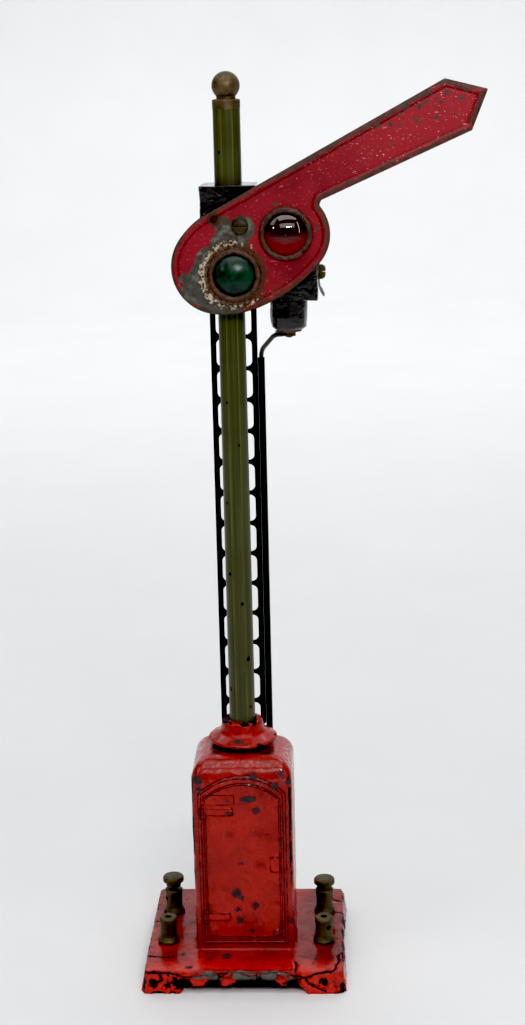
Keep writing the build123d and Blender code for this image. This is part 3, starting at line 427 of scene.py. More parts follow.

    # what shows where the enamel is gone; the same black also lays painted shadow under the collar's
    # flange and low on the skirt between the feet
    metal = g.mix(g.noise(1.6, 3), rgb(34, 30, 33), rgb(74, 66, 70))
    black_and_shadow = g.mix(g.noise(2.4, 3), rgb(12, 12, 13), rgb(44, 42, 42))
    grey = g.mix(g.noise(1.3, 3, shift=0.9), rgb(58, 58, 56), rgb(120, 116, 110))
    in_middle = g.times(g.fade(from_middle, 0.024, 0.019), g.fade(height, 0.0055, 0.0072),
                        g.fade(depth, -0.039, -0.041))
    enamel = g.mix(g.times(in_middle, 0.6), enamel, rgb(74, 16, 16))
    black_and_shadow = g.mix(g.times(in_middle, g.fade(g.noise(4, 4, shift=3), 0.35, 0.5)), black_and_shadow, grey)
    colour = g.mix(bare, enamel, metal)
    colour = g.mix(black, colour, black_and_shadow)
    worn = g.most(bare, black)
    g.bump(g.noise(7, 2), 0.5, 0.3)
    g.bump(g.noise(1.8, 4, stretch=(1, 1, 0.35)), 0.1, 0.35)
    g.bump(g.math("SUBTRACT", 1.0, worn), 0.2, 0.8)
    gloss = g.blend(g.noise(3, 3), 0.2, 0.34)
    shoulder = g.times(g.fade(height, 0.0855, 0.089), g.fade(height, 0.0985, 0.096))
    glints = g.times(shoulder, g.fade(g.noise(1.3, 4, shift=12), 0.50, 0.56))
    glaze = g.times(g.blend(glints, 0.2, 1.0), g.math("SUBTRACT", 1.0, worn))
    return g.finish(colour, g.blend(worn, gloss, 0.66), 0.0, Specular_IOR_Level=0.16, Coat_Weight=glaze,
                    Coat_Roughness=0.05, Coat_IOR=1.5)


MAST_RADIUS = 5.55


def mast_paint():
    """Olive gloss with small dark chips, old brush streaks down the tube, and two painted highlight
    lines.
    """
    g = Graph("mast_paint")
    torn = g.ragged(1.2, 1.2)
    chips = g.patches(
        [(1.6, -5.3, 163, 0.75), (3.6, -4.4, 138, 1.0), (-3.4, -4.4, 176, 0.7), (-2.6, -4.9, 250, 0.5),
         (-3.2, -4.5, 352, 0.6), (2.0, -5.2, 232, 0.5), (-3.9, -4, 207, 0.5), (-4.4, -3.4, 124, 0.9),
         (3.9, -4.0, 116, 0.6), (3.6, 4.3, 150, 1.0), (-2.0, 5.2, 200, 1.2), (0.5, 5.5, 280, 0.8)],
        torn, squeeze=(1, 1, 0.75))
    specks = g.fade(g.noise(1.7, 2, shift=0.2), 0.77, 0.79)
    streaks = g.noise(1.1, 3, stretch=(1, 1, 0.012))
    colour = g.mix(g.fade(streaks, 0.35, 0.68), rgb(55, 58, 32), rgb(76, 78, 44))
    colour = g.mix(g.fade(g.noise(30, 2), 0.4, 0.7), colour, rgb(62, 62, 34))
    # painted highlights: two pale lines down the front of the tube
    lines = []
    for share in (-0.37, 0.45):
        lines.append(g.fade(g.apart(g.axis(0), share * MAST_RADIUS * MM), 0.00042, 0.00012))
    bright = g.times(g.most(*lines), g.fade(g.noise(40, 3, shift=0.6), 0.3, 0.6))
    colour = g.mix(g.times(bright, 0.45), colour, rgb(110, 110, 60))
    top_soot = g.times(g.fade(g.axis(2), 0.288, 0.312), g.fade(g.axis(2), 0.345, 0.338))
    colour = g.mix(g.times(top_soot, 0.7), colour, rgb(50, 41, 34))
    worn = g.most(chips, specks)
    colour = g.mix(worn, colour, rgb(20, 18, 14))
    g.bump(g.noise(2.2, 3, stretch=(1, 1, 0.1)), 0.05, 0.4)
    g.bump(g.math("SUBTRACT", 1.0, worn), 0.12, 0.7)
    return g.finish(colour, g.blend(worn, g.blend(streaks, 0.26, 0.4), 0.6), 0.0, Specular_IOR_Level=0.25,
                    Coat_Weight=0.15, Coat_Roughness=0.2)


# the arm's own axes in the row frame, along the blade and up across it, and its faces in millimetres
PIVOT = Vector((5.1, 0, 323.4))
ALONG = Vector((math.cos(ARM_TILT), 0, math.sin(ARM_TILT)))
ACROSS = Vector((-math.sin(ARM_TILT), 0, math.cos(ARM_TILT)))
ARM_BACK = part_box("arm_plate")[1].y / MM
ARM_FACE = ARM_BACK - 0.8
# the lens centres and the crank pin in those axes, and how far their holes reach
GREEN, RED, PIN = (-11.1, -16.4), (14.9, -11.0), (-8.1, 7.2)
LENS_HOLE, PIVOT_HOLE, PIN_HOLE = 11.0, 3.0, 2.2


def on_arm(x, y, depth=None):
    """A point given in the blade's own axes, in the row frame, in millimetres."""
    place = PIVOT + ALONG * x + ACROSS * y
    place.y = ARM_FACE if depth is None else depth
    return place


def arm_axes(g):
    """The point in the blade's own axes, as two sockets in metres."""
    from_pivot = g.vector("SUBTRACT", g.point, tuple(PIVOT * MM))
    along = g.vector("DOT_PRODUCT", from_pivot, tuple(ALONG))
    across = g.vector("DOT_PRODUCT", from_pivot, tuple(ACROSS))
    return along, across


def arm_paint():
    """Crimson field, rim worn to brown metal, bare and crusted round the green lens, with a painted
    shadow line inside the rim and painted sheen on the bare metal.
    """
    g = Graph("arm_paint")
    along, across = arm_axes(g)
    torn = g.ragged(2.4, 2.2, 5)
    fine = g.ragged(1.4, 0.9, 5)

    def at(*places):
        return [tuple(on_arm(x, y)) + (radius,) for x, y, radius in places]

    chips = g.patches(
        at((66, 10.5, 1.0), (71, 8.5, 1.0), (76, 10.4, 0.8), (81, 5.5, 1.0), (62, 3.5, 0.5),
           (54, 1.6, 0.6), (60, -0.5, 0.5), (84, 9.5, 1.1), (88, 2.5, 0.9), (74, 2.8, 0.5),
           (92, 7.2, 0.9), (49, 4.4, 0.4), (95, 0.6, 0.6), (100, 4.8, 0.9), (87, 9.8, 0.9),
           (96, 9.5, 1.0), (16.5, 1.4, 0.9), (27, -14.5, 0.8), (79, 11.8, 1.3), (90, 12, 1.0),
           (103, 7, 0.9), (68, 1.5, 0.7)),
        g.ragged(3.6, 1.8, 5))
    tip = g.fade(along, 0.046, 0.085)
    scratches = g.times(g.fade(g.noise(1.4, 5, shift=0.9), 0.625, 0.66), tip)
    pale = g.times(g.fade(g.noise(0.8, 4, stretch=(0.7, 1, 1.3), shift=0.4), 0.635, 0.68),
                   g.fade(along, 0.02, 0.06, 0.35, 1.0))

    # the rim: brown metal along the blade, a thin brown line round the lens plate
    inset = g.math("SUBTRACT", g.field("inset"), 1.0)
    wander = g.times(g.math("SUBTRACT", g.noise(6, 5, shift=0.7), 0.5), 3.2)
    on_blade = g.fade(along, 0.012, 0.036)
    reach_in = g.math("ADD", g.blend(on_blade, 1.0, 2.2), wander)
    rim_worn = g.times(g.fade(g.math("SUBTRACT", inset, reach_in), 0.35, -0.35),
                       g.fade(g.noise(3.4, 5, shift=0.2), 0.34, 0.46, 0.1, 1.0), g.fade(inset, 3.1, 2.6))
    # painted shadow: a dark line along the inner edge of the rim
    rim_shadow = g.fade(g.apart(inset, 3.0), 0.6, 0.1)

    # bare metal left of the green lens, crust and rust round it
    green = tuple(on_arm(*GREEN) * MM)
    reach = g.vector("DISTANCE", torn, green)
    close = g.vector("DISTANCE", g.ragged(0.6, 1.5, 3), green)
    bare_lobe = g.patches(
        at((-19, -11.5, 8.0), (-13, -5.5, 4.0), (-21.5, -13, 8.0), (-17, -7.5, 6.5),
           (-22.5, -20, 7.0), (-18, -25.5, 5.6), (-10, -3.2, 4.8), (-6, 1.5, 4.0),
           (0.5, -1.2, 5.0), (-3, -4.5, 4.2), (*PIN, 2.6), (-5, 4.0, 2.6),
           (-26, -17, 4.0), (-29, -14.7, 5.0), (-29.4, -8.6, 2.4), (-25, -22, 5.0)),
        g.ragged(1.8, 3.2, 5), soft=0.06)
    crust = g.math("ADD", g.field("crust"), g.times(g.math("SUBTRACT", g.noise(0.9, 4), 0.5), 0.5))
    crust_here = g.fade(crust, 0.42, 0.5)
    near_rust = g.times(g.fade(reach, 0.0142, 0.0122), g.fade(g.noise(2.2, 5, shift=2.1), 0.34, 0.52))
    low_rust = g.patches(at((-6, -31.2, 3.6), (-13, -31, 3.0), (2, -31.4, 3.2), (9, -31, 2.2)), torn,
                         soft=0.3)
    low_rust = g.times(low_rust, g.fade(g.noise(1.6, 5, shift=1.9), 0.42, 0.5))
    rust = g.most(near_rust, low_rust)
    halo = g.fade(close, 0.0124, 0.0119)
    pin = g.patches(at((*PIN, 2.9)), fine, soft=0.15)

    field = g.mix(g.fade(g.noise(24, 3), 0.35, 0.7), rgb(142, 42, 48), rgb(114, 36, 42))
    field = g.mix(g.fade(along, 0.03, 0.075), field, rgb(154, 46, 53))
    field = g.mix(g.times(rim_shadow, 0.6), field, rgb(92, 6, 12))
    field = g.mix(pale, field, rgb(226, 160, 160))
    brown = g.mix(g.noise(2.6, 4), rgb(48, 34, 28), rgb(96, 74, 62))
    grey = g.mix(g.noise(2.4, 5, shift=0.6), rgb(40, 43, 40), rgb(90, 92, 86))
    mottle = g.times(g.fade(g.noise(2.6, 6, shift=8.1), 0.46, 0.62), 0.65)
    grey = g.mix(mottle, grey, rgb(72, 52, 40))
    # painted sheen: the bare metal lighter towards the top
    shine = g.times(g.fade(across, -0.026, -0.004), g.fade(g.noise(3.6, 4, shift=4), 0.45, 0.7, 0.0, 0.7))
    grey = g.mix(shine, grey, rgb(132, 128, 118))
    rusty = g.mix(g.noise(1.2, 4), rgb(54, 34, 26), rgb(94, 68, 50))
    pale_crust = g.mix(g.noise(0.8, 3, shift=0.2), rgb(214, 208, 190), rgb(146, 118, 80))
    pale_crust = g.mix(g.fade(g.noise(1.3, 4, shift=5), 0.47, 0.58), pale_crust, rusty)
    colour = g.mix(g.times(rim_worn, 0.95), field, brown)
    colour = g.mix(bare_lobe, colour, grey)
    colour = g.mix(g.times(rust, 0.88), colour, rusty)
    colour = g.mix(g.times(pin, 0.8), colour, rgb(66, 40, 26))
    colour = g.mix(crust_here, colour, pale_crust)
    stain = g.mix(g.noise(1.6, 4, shift=7), rgb(58, 36, 28), rgb(92, 62, 48))
    colour = g.mix(g.times(halo, 0.85), colour, stain)
    bared = g.mix(g.noise(1.4, 3), rgb(44, 40, 34), rgb(92, 90, 78))
    colour = g.mix(g.most(chips, scratches), colour, bared)
    worn = g.most(rim_worn, bare_lobe, chips, scratches, rust)
    g.bump(g.noise(5, 3), 0.22, 0.3)
    g.bump(g.noise(0.9, 4), 0.12, 0.3)
    g.bump(g.math("SUBTRACT", 1.0, worn), 0.14, 0.7)
    g.bump(crust_here, 0.3, 0.7)
    rough = g.blend(worn, g.blend(g.noise(4, 3), 0.28, 0.44), 0.56)
    rough = g.blend(crust_here, rough, 0.95)
    return g.finish(colour, rough, 0.0, Specular_IOR_Level=0.18, Coat_Weight=0.12, Coat_Roughness=0.2)


def black_paint(name, glossy=True):
    """Black paint laid thick over rough metal, chipped grey at the edges."""
    g = Graph(name)
    chips = g.fade(g.noise(2.3, 5, shift=0.35), 0.665, 0.69)
    rubbed = g.times(g.edges(1.0, 0.03, 0.14), g.fade(g.noise(4, 4), 0.52, 0.6))
    worn = g.most(chips, rubbed)
    black = g.mix(g.noise(6, 3), rgb(17, 16, 17), rgb(42, 39, 39))
    grey = g.mix(g.noise(1.2, 3), rgb(56, 58, 54), rgb(100, 100, 94))
    colour = g.mix(g.times(worn, 0.85), black, grey)
    g.soften(0.4)
    g.bump(g.noise(3.6, 4), 1.0, 0.6)
    g.bump(g.noise(1.5, 3), 0.4, 0.6)
    g.bump(g.math("SUBTRACT", 1.0, worn), 0.14, 0.7)
    shine = g.blend(g.noise(3, 2), 0.12, 0.26) if glossy else g.blend(g.noise(3, 2), 0.38, 0.55)
    coat = 0.9 if glossy else 0.0
    return g.finish(colour, g.blend(worn, shine, 0.6), 0.0, Specular_IOR_Level=0.25, Coat_Weight=coat,
                    Coat_Roughness=0.05, Coat_IOR=1.5)


def ladder_paint():
    """Thin black-green paint, rubbed grey on the edges."""
    g = Graph("ladder_paint")
    rubbed = g.times(g.edges(0.5, 0.04, 0.16), g.fade(g.noise(6, 4), 0.56, 0.62))
    specks = g.fade(g.noise(2.0, 3, shift=0.8), 0.73, 0.75)
    worn = g.most(rubbed, specks)
    colour = g.mix(g.noise(12, 3), rgb(5, 11, 11), rgb(14, 24, 23))
    colour = g.mix(g.times(worn, 0.7), colour, rgb(64, 66, 62))
    g.soften(0.15)
    g.bump(g.noise(3, 3), 0.12, 0.5)
    return g.finish(colour, g.blend(g.noise(5, 3), 0.32, 0.5), Specular_IOR_Level=0.2)


def old_brass(name, dark, light, shine=0.46):
    """Tarnished brass: dull olive-brown, rubbed bright on the edges."""
    g = Graph(name)
    rubbed = g.times(g.edges(0.45, 0.05, 0.2), g.fade(g.noise(3, 3), 0.4, 0.6))
    film = g.noise(4.5, 4)
    colour = g.mix(g.fade(film, 0.3, 0.7), dark, light)
    colour = g.mix(g.fade(g.noise(1.1, 4, shift=0.3), 0.62, 0.7), colour, rgb(34, 30, 22))
    colour = g.mix(g.times(rubbed, 0.65), colour, rgb(152, 134, 96))
    g.soften(0.2)
    g.bump(g.noise(0.8, 3), 0.05, 0.5)
    g.bump(g.noise(3.5, 2), 0.2, 0.3)
    return g.finish(colour, g.blend(film, shine, shine + 0.2), 0.55)


def bezel_metal(name, body, flake, flake_amount):
    """A pressed ring browned with age, some of its paint left."""
    g = Graph(name)
    crust = g.noise(1.3, 5)
    colour = g.mix(g.fade(crust, 0.35, 0.65), body, rgb(92, 60, 42))
    flakes = g.fade(g.noise(4.5, 4, shift=0.6), flake_amount, flake_amount + 0.04)
    colour = g.mix(flakes, colour, flake)
    grime = g.fade(g.noise(2.2, 4, shift=1.1), 0.5, 0.62)
    colour = g.mix(g.times(grime, 0.7), colour, rgb(26, 20, 18))
    g.soften(0.2)
    g.bump(crust, 0.25, 0.7)
    g.bump(g.noise(4, 2), 0.25, 0.35)
    return g.finish(colour, g.blend(crust, 0.4, 0.72), 0.2)


def red_lens():
    """Clear red moulding with its light painted in: painted shade high up, and a painted glow low down
    that also gives off light.
    """
    g = Graph("red_lens")
    centre = on_arm(*RED)
    drop = g.math("SUBTRACT", g.axis(2), centre.z * MM)
    aside = g.apart(g.axis(0), centre.x * MM)
    bow = g.math("ADD", drop, g.times(aside, aside, -28.0))
    # painted glow low down and painted shade above; the glow also gives off light
    painted_glow = g.fade(bow, 0.0008, -0.0058)
    colour = g.mix(painted_glow, rgb(40, 6, 14), rgb(96, 4, 3))
    g.feed(g.shader.inputs["Emission Color"], g.mix(painted_glow, rgb(0, 0, 0), rgb(140, 2, 0)))
    sheen = g.math("SUBTRACT", 1.0, g.times(painted_glow, 0.9))
    g.feed(g.shader.inputs["Specular IOR Level"], g.times(sheen, 0.6))
    smear = g.noise(3, 3)
    return g.finish(colour, g.blend(smear, 0.03, 0.09), 0.0, IOR=1.5, Coat_Weight=sheen,
                    Coat_Roughness=0.02, Coat_IOR=1.5, Emission_Strength=0.22)


def green_lens():
    """Dark green moulding, clouded, and paler in patches over its upper half."""
    g = Graph("green_lens")
    centre = on_arm(*GREEN)
    cloud = g.noise(5.5, 4, shift=0.15)
    colour = g.mix(g.fade(cloud, 0.35, 0.68), rgb(7, 24, 18), rgb(14, 58, 38))
    high = g.fade(g.math("SUBTRACT", g.axis(2), centre.z * MM), 0.0005, 0.006)
    # paler in patches over the upper half
    upper_pale_patches = g.times(high, g.fade(g.noise(4, 4, shift=0.5), 0.35, 0.65))
    colour = g.mix(g.times(upper_pale_patches, 0.6), colour, rgb(52, 70, 60))
    g.bump(g.noise(1.5, 4), 0.05, 0.4)
    return g.finish(colour, g.blend(cloud, 0.2, 0.42), 0.0, IOR=1.5, Specular_IOR_Level=0.3,
                    Coat_Weight=0.2, Coat_Roughness=0.2)


def plated_steel(name, dark, light):
    """Dulled plating with brown spots."""
    g = Graph(name)
    film = g.noise(2.5, 4)
    colour = g.mix(film, dark, light)
    colour = g.mix(g.fade(g.noise(1.6, 4, shift=0.4), 0.6, 0.68), colour, rgb(70, 48, 34))
    g.soften(0.15)
    g.bump(g.noise(0.8, 3), 0.05, 0.5)
    return g.finish(colour, g.blend(film, 0.32, 0.55), 0.8)


def crumpled_lead():
    """Soft grey metal, creased."""
    g = Graph("crumpled_tag")
    film = g.noise(1.4, 4)
    colour = g.mix(film, rgb(52, 56, 54), rgb(158, 160, 150))
    g.bump(g.noise(2.2, 3), 0.6, 0.7)
    g.bump(g.noise(0.7, 3), 0.15, 0.6)
    return g.finish(colour, g.blend(film, 0.35, 0.6), 0.5)


def braid():
    """Woven cotton over the wire, browned and waxy."""
    g = Graph("braid")
    tone = g.noise(3.0, 4)
    colour = g.mix(tone, rgb(20, 14, 12), rgb(50, 37, 30))
    colour = g.mix(g.fade(g.noise(0.5, 2), 0.5, 0.7), colour, rgb(70, 56, 46))
    g.bump(g.noise(0.35, 2), 0.08, 0.6)
    return g.finish(colour, g.blend(tone, 0.6, 0.85), 0.0, Sheen_Weight=0.3)


def copper_winding():
    """Fine wire, its turns lying level."""
    g = Graph("copper_winding")
    turns = g.node("ShaderNodeTexWave", wave_type="BANDS", bands_direction="Z")
    turns.inputs["Scale"].default_value = 620
    turns.inputs["Distortion"].default_value = 0.4
    colour = g.mix(turns.outputs["Fac"], rgb(66, 24, 12), rgb(164, 78, 40))
    g.bump(turns.outputs["Fac"], 0.12, 0.8)
    return g.finish(colour, g.blend(g.noise(3), 0.25, 0.4), 0.7)


def fibre_board():
    """Pressed brown board."""
    g = Graph("fibre_board")
    grain = g.noise(2.0, 5, stretch=(1, 1, 3))
    g.bump(grain, 0.08, 0.5)
    return g.finish(g.mix(grain, rgb(78, 50, 32), rgb(116, 80, 54)), g.blend(grain, 0.55, 0.8))


def lamp_glass():
    """Clear glass, a little smoked."""
    g = Graph("lamp_glass")
    smoke = g.noise(5, 3)
    g.bump(g.noise(4, 2), 0.04, 0.3)
    return g.finish(g.mix(smoke, rgb(235, 230, 215), rgb(205, 196, 176)), g.blend(smoke, 0.04, 0.14), 0.0,
                    Transmission_Weight=0.85, IOR=1.45)


LOOKS = {
    "red_enamel": red_enamel(),
    "mast_paint": mast_paint(),
    "arm_paint": arm_paint(),
    "black_paint": black_paint("black_paint"),
    "ladder_paint": ladder_paint(),
    "old_brass": old_brass("old_brass", rgb(58, 52, 36), rgb(92, 82, 56)),
    "bright_steel": plated_steel("bright_steel", rgb(84, 84, 80), rgb(150, 148, 140)),
    "cover_sheet": black_paint("cover_sheet", glossy=False),
    "red_glass": red_lens(),
    "green_glass": green_lens(),
    "lamp_glass": lamp_glass(),
    "copper_wire": copper_winding(),
    "board": fibre_board(),
    "braid": braid(),
    "bezel_metal": bezel_metal("green_bezel", rgb(60, 40, 32), rgb(88, 64, 50), 0.66),
}
SPECIAL = {
    "red_bezel": bezel_metal("red_bezel", rgb(42, 32, 30), rgb(150, 24, 20), 0.58),
    "finial": old_brass("finial_brass", rgb(64, 52, 34), rgb(112, 94, 66), 0.36),
    "pivot_screw": old_brass("pivot_bronze", rgb(40, 34, 26), rgb(74, 64, 46), 0.4),
    "crank_pin": old_brass("rusty_pin", rgb(34, 22, 16), rgb(70, 42, 28), 0.6),
    "earth_tag": crumpled_lead(),
}
SLOT_OF = {part["node"]: part["material_slot"] for part in frame["record"]["subparts"]}
for node, slot in SLOT_OF.items():
    mesh = frame["nodes"][node].data
    mesh.materials.clear()
    mesh.materials.append(SPECIAL.get(node, LOOKS[slot]))

# ---- finer meshes for the pressed and cast pieces -----------------------------------------


# a normal whose Y goes further than this faces the front or the back
FACING = 0.3
# bands that hold the tower's front face and the base plate's top and front face, in millimetres
TOWER_FACE_Y, TOWER_FOOT_Z = (-25, -21.6), 12
PLATE_TOP_Z, PLATE_FRONT_Y = (9.0, 10.8), -40
# fits stay true: over these distances from the mast's or a post's axis, in millimetres, wear sets in
BASE_BORE, COLLAR_BORE, HEAD_BORE, POST_SEAT = (8, 10), (6.0, 6.6), (5.9, 6.8), (5, 7)


def placed(name, data):
    """A new object of that data, in the scene."""
    made = bpy.data.objects.new(name, data)
    bpy.context.scene.collection.objects.link(made)
    return made


def lumps(points, size, octaves=3, seed=0.0):
    """Smooth noise from about -1 to 1 at each point, its lumps about size millimetres across."""
    total = np.zeros(len(points))
    strength = 1.0
    for octave in range(octaves):
        # each corner of the grid gets its number from a fixed scramble of its whole coordinates
        grid = points / size + seed * 17.31 + octave * 5.7
        cell = np.floor(grid).astype(np.int64)
        ease = grid - cell
        ease = ease * ease * (3 - 2 * ease)
        for corner in itertools.product((0, 1), repeat=3):
            at = cell + corner
            mixed = (at[:, 0] * 73856093) ^ (at[:, 1] * 19349663) ^ (at[:, 2] * 83492791)
            mixed = (mixed ^ (mixed >> 13)) * 1274126177 & 0xFFFFFFFF
            number = ((mixed ^ (mixed >> 16)) & 0xFFFF) / 32767.5 - 1
            weight = np.prod(np.where(corner, ease, 1 - ease), axis=1)
            total += strength * weight * number
        strength *= 0.5
        size *= 0.5
    return total


def step(values, low, high):
    """0 at low, 1 at high and eased between them; low may be the larger."""
    share = np.clip((values - low) / (high - low), 0, 1)
    return share * share * (3 - 2 * share)


def worked(mesh, *modifiers):
    """A new mesh: the given one after these modifiers, each a kind and its settings."""
    work = placed("work", mesh)
    for kind, settings in modifiers:
        added = work.modifiers.new(kind, kind)
        for key, value in settings.items():
            setattr(added, key, value)
    bpy.context.view_layer.update()
    done = work.evaluated_get(bpy.context.evaluated_depsgraph_get())
    made = bpy.data.meshes.new_from_object(done)
    bpy.data.objects.remove(work)
    return made


def even_mesh(node, voxel, rounds):
    """A copy of a CAD node's mesh in even faces that many millimetres across, its edges softened."""
    return worked(frame["nodes"][node].data.copy(),
                  ("REMESH", {"mode": "VOXEL", "voxel_size": voxel * MM}),
                  ("SMOOTH", {"factor": 0.5, "iterations": rounds}))


def corners(node):
    """The low and the high corner of a CAD node's box, in millimetres."""
    return [np.array(corner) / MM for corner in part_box(node)]


def points_of(mesh):
    """The mesh's points in millimetres and their normals."""
    places = np.empty(len(mesh.vertices) * 3)
    normals = np.empty(len(mesh.vertices) * 3)
    mesh.vertices.foreach_get("co", places)
    mesh.vertices.foreach_get("normal", normals)
    return places.reshape(-1, 3) / MM, normals.reshape(-1, 3)


def move_points(mesh, points):
    """Sets the points, given in millimetres, without leaving the CAD model's box."""
    low, high = np.array(cad_box[0]) / MM, np.array(cad_box[1]) / MM
    inside = np.clip(points, low, high) * MM
    mesh.vertices.foreach_set("co", inside.astype(np.float32).ravel())
    mesh.update()


def thinned(mesh, share):
    """The same mesh with that share of its faces, kept where it bends most."""
    return worked(mesh, ("DECIMATE", {"ratio": share}))


def keep_field(mesh, name, values):
    """Stores a number at each point for the material to read."""
    layer = mesh.attributes.new(name, "FLOAT", "POINT")
    layer.data.foreach_set("value", np.asarray(values, np.float32))


def stand_for(node, mesh, name):
    """Puts the mesh in the CAD node's place, on its body and with its look."""
    cad = frame["nodes"][node]
    mesh.polygons.foreach_set("use_smooth", [True] * len(mesh.polygons))
    mesh.materials.clear()
    mesh.materials.append(cad.data.materials[0])
    piece = placed(name, mesh)
    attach(piece, cad["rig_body"])
    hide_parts(node)
    return piece


def chain_gap(points, path):
    """How far each point is from the nearest of a chain of straight lines, in millimetres."""
    nearest = np.full(len(points), FAR)
    for start, end in zip(path, path[1:]):
        start, run = np.array(start), np.array(end) - np.array(start)
        share = np.clip((points - start) @ run / (run @ run), 0, 1)
        gap = np.linalg.norm(points - start - share[:, None] * run, axis=1)
        nearest = np.minimum(nearest, gap)
    return nearest


def base_losses(points):
    """Where the swollen casting has flaked away along the plate's edges, from 0 to 1; low on the front
    between the feet it also lays in painted shadow as loss.
    """
    x, y, z = points.T
    low, high = corners("base_casting")
    across = np.minimum(x - low[0], high[0] - x)
    along = np.minimum(y - low[1], high[1] - y)
    edge = np.minimum(across, along)
    near = step(edge, 3.4, 1.4) * step(z, 10.6, 10.0)
    right = step(x, 38.5, 41)
    corner = step(across, 3.6, 1.2) * step(along, 3.6, 1.2)
    bottom = step(z, 1.9, 0.5)
    rim = step(np.abs(z - 9.2), 1.6, 0.4)
    front = step(y, -39, -40.5)
    below_crack_and_shadow = step(z, 9.0, 7.4) * step(np.abs(x), 27, 23) * front
    torn = lumps(points, 6.0, 4, 0.3)
    amount = 0.27 + 0.5 * torn + 0.22 * right + 0.3 * corner + 0.2 * bottom + 0.06 * rim
    # the loss is raised further below about 5 mm in the front's middle: partly a blackened edge, partly
    # painted shadow under the skirt
    amount += (0.24 + 0.22 * step(z, 5.8, 4.8)) * below_crack_and_shadow
    return near * np.clip(amount, 0, 1)


def door_gap(points):
    """How far each point is from the edges of the door's raised bands, in millimetres."""
    x, _, z = points.T
    nearest = np.full(len(points), FAR)
    for half_width, bottom, springing, crown, band in DOOR_BANDS:
        centre, radius = arch(half_width, springing, crown)
        above = np.maximum(z - centre, 0)
        out = np.maximum(np.hypot(x, above) - radius, np.abs(x) - half_width)
        out = np.maximum(out, bottom - z)
        nearest = np.minimum(nearest, np.minimum(np.abs(out), np.abs(out + band)))
    return nearest


def worn_base():
    """The base and tower: lumpy faces, the door's grooves, flaked edges and cracks. The mast's hole
    and the posts' feet stay as they are."""
    mesh = even_mesh("base_casting", 0.42, 1)
    points, normals = points_of(mesh)
    _, y, z = points.T
    push = 0.12 * lumps(points, 8, 2, 0.8) + 0.05 * lumps(points, 2.2, 2, 0.1)
    on_face = (y > TOWER_FACE_Y[0]) & (y < TOWER_FACE_Y[1]) & (z > TOWER_FOOT_Z)
    on_face &= normals[:, 1] < -FACING
    push -= on_face * 0.3 * step(door_gap(points), 0.5, 0.1)
    push -= 0.55 * step(base_losses(points), 0.5, 0.56)
    shaky = points + 0.5 * lumps(points, 2.5, 2, 0.6)[:, None]
    low_front = (y < PLATE_FRONT_Y) & (z < 10.6)
    for path in flat_paths(FRONT_CRACKS, True):
        push -= low_front * 0.6 * step(chain_gap(shaky * (1, 0, 1), path), 0.75, 0.3)
    plate_top = (z > PLATE_TOP_Z[0]) & (z < PLATE_TOP_Z[1])
    for path in flat_paths(TOP_CRACKS, False):
        push -= plate_top * 0.4 * step(chain_gap(shaky * (1, 1, 0), path), 0.6, 0.2)
    push *= step(np.linalg.norm(points[:, :2], axis=1), *BASE_BORE)
    for node in ("post_front_left", "post_front_right", "post_rear_left", "post_rear_right"):
        middle = (np.array(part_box(node)[0]) + np.array(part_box(node)[1])) / 2 / MM
        push *= step(np.linalg.norm(points[:, :2] - middle[:2], axis=1), *POST_SEAT)
    move_points(mesh, points + normals * push[:, None])
    mesh = thinned(mesh, 0.36)
    keep_field(mesh, "lost", base_losses(points_of(mesh)[0]))
    stand_for("base_casting", mesh, "base_casting_worn")


def worn_collar():
    """The collar's brim and the rim of its flange are chipped."""
    mesh = even_mesh("mast_collar", 0.35, 2)
    points, normals = points_of(mesh)
    z = points[:, 2]
    reach = np.linalg.norm(points[:, :2], axis=1)
    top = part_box("mast_collar")[1].z / MM
    brim = step(z, top - 2.6, top - 0.4) * (0.46 + 0.5 * lumps(points, 3.2, 3, 0.9))
    flange = step(reach, 12.8, 14.4) * (0.38 + 0.5 * lumps(points, 5, 3, 1.7))
    lost = np.clip(np.maximum(brim, flange), 0, 1)
    push = 0.12 * lumps(points, 4, 2, 0.4) - 0.5 * step(lost, 0.5, 0.58)
    push *= step(reach, *COLLAR_BORE)
    move_points(mesh, points + normals * push[:, None])
    keep_field(mesh, "lost", lost)
    stand_for("mast_collar", mesh, "mast_collar_worn")


def outline_of(node, back):
    """The straight edges of a flat node's outline, in X and Z, found on its side walls."""
    mesh = frame["nodes"][node].data
    holes = [(on_arm(*GREEN), LENS_HOLE), (on_arm(*RED), LENS_HOLE), (on_arm(0, 0), PIVOT_HOLE),
             (on_arm(*PIN), PIN_HOLE)]
    found = []
    for face in mesh.polygons:
        if abs(face.normal.y) > FACING:
            continue
        for start, end in face.edge_keys:
            start, end = (mesh.vertices[i].co / MM for i in (start, end))
            if abs(start.y - back) < 0.05 and abs(end.y - back) < 0.05:
                middle = (start + end) / 2
                if all(math.hypot(middle.x - hole.x, middle.z - hole.z) > reach for hole, reach in holes):
                    found.append(((start.x, 0, start.z), (end.x, 0, end.z)))
    return found


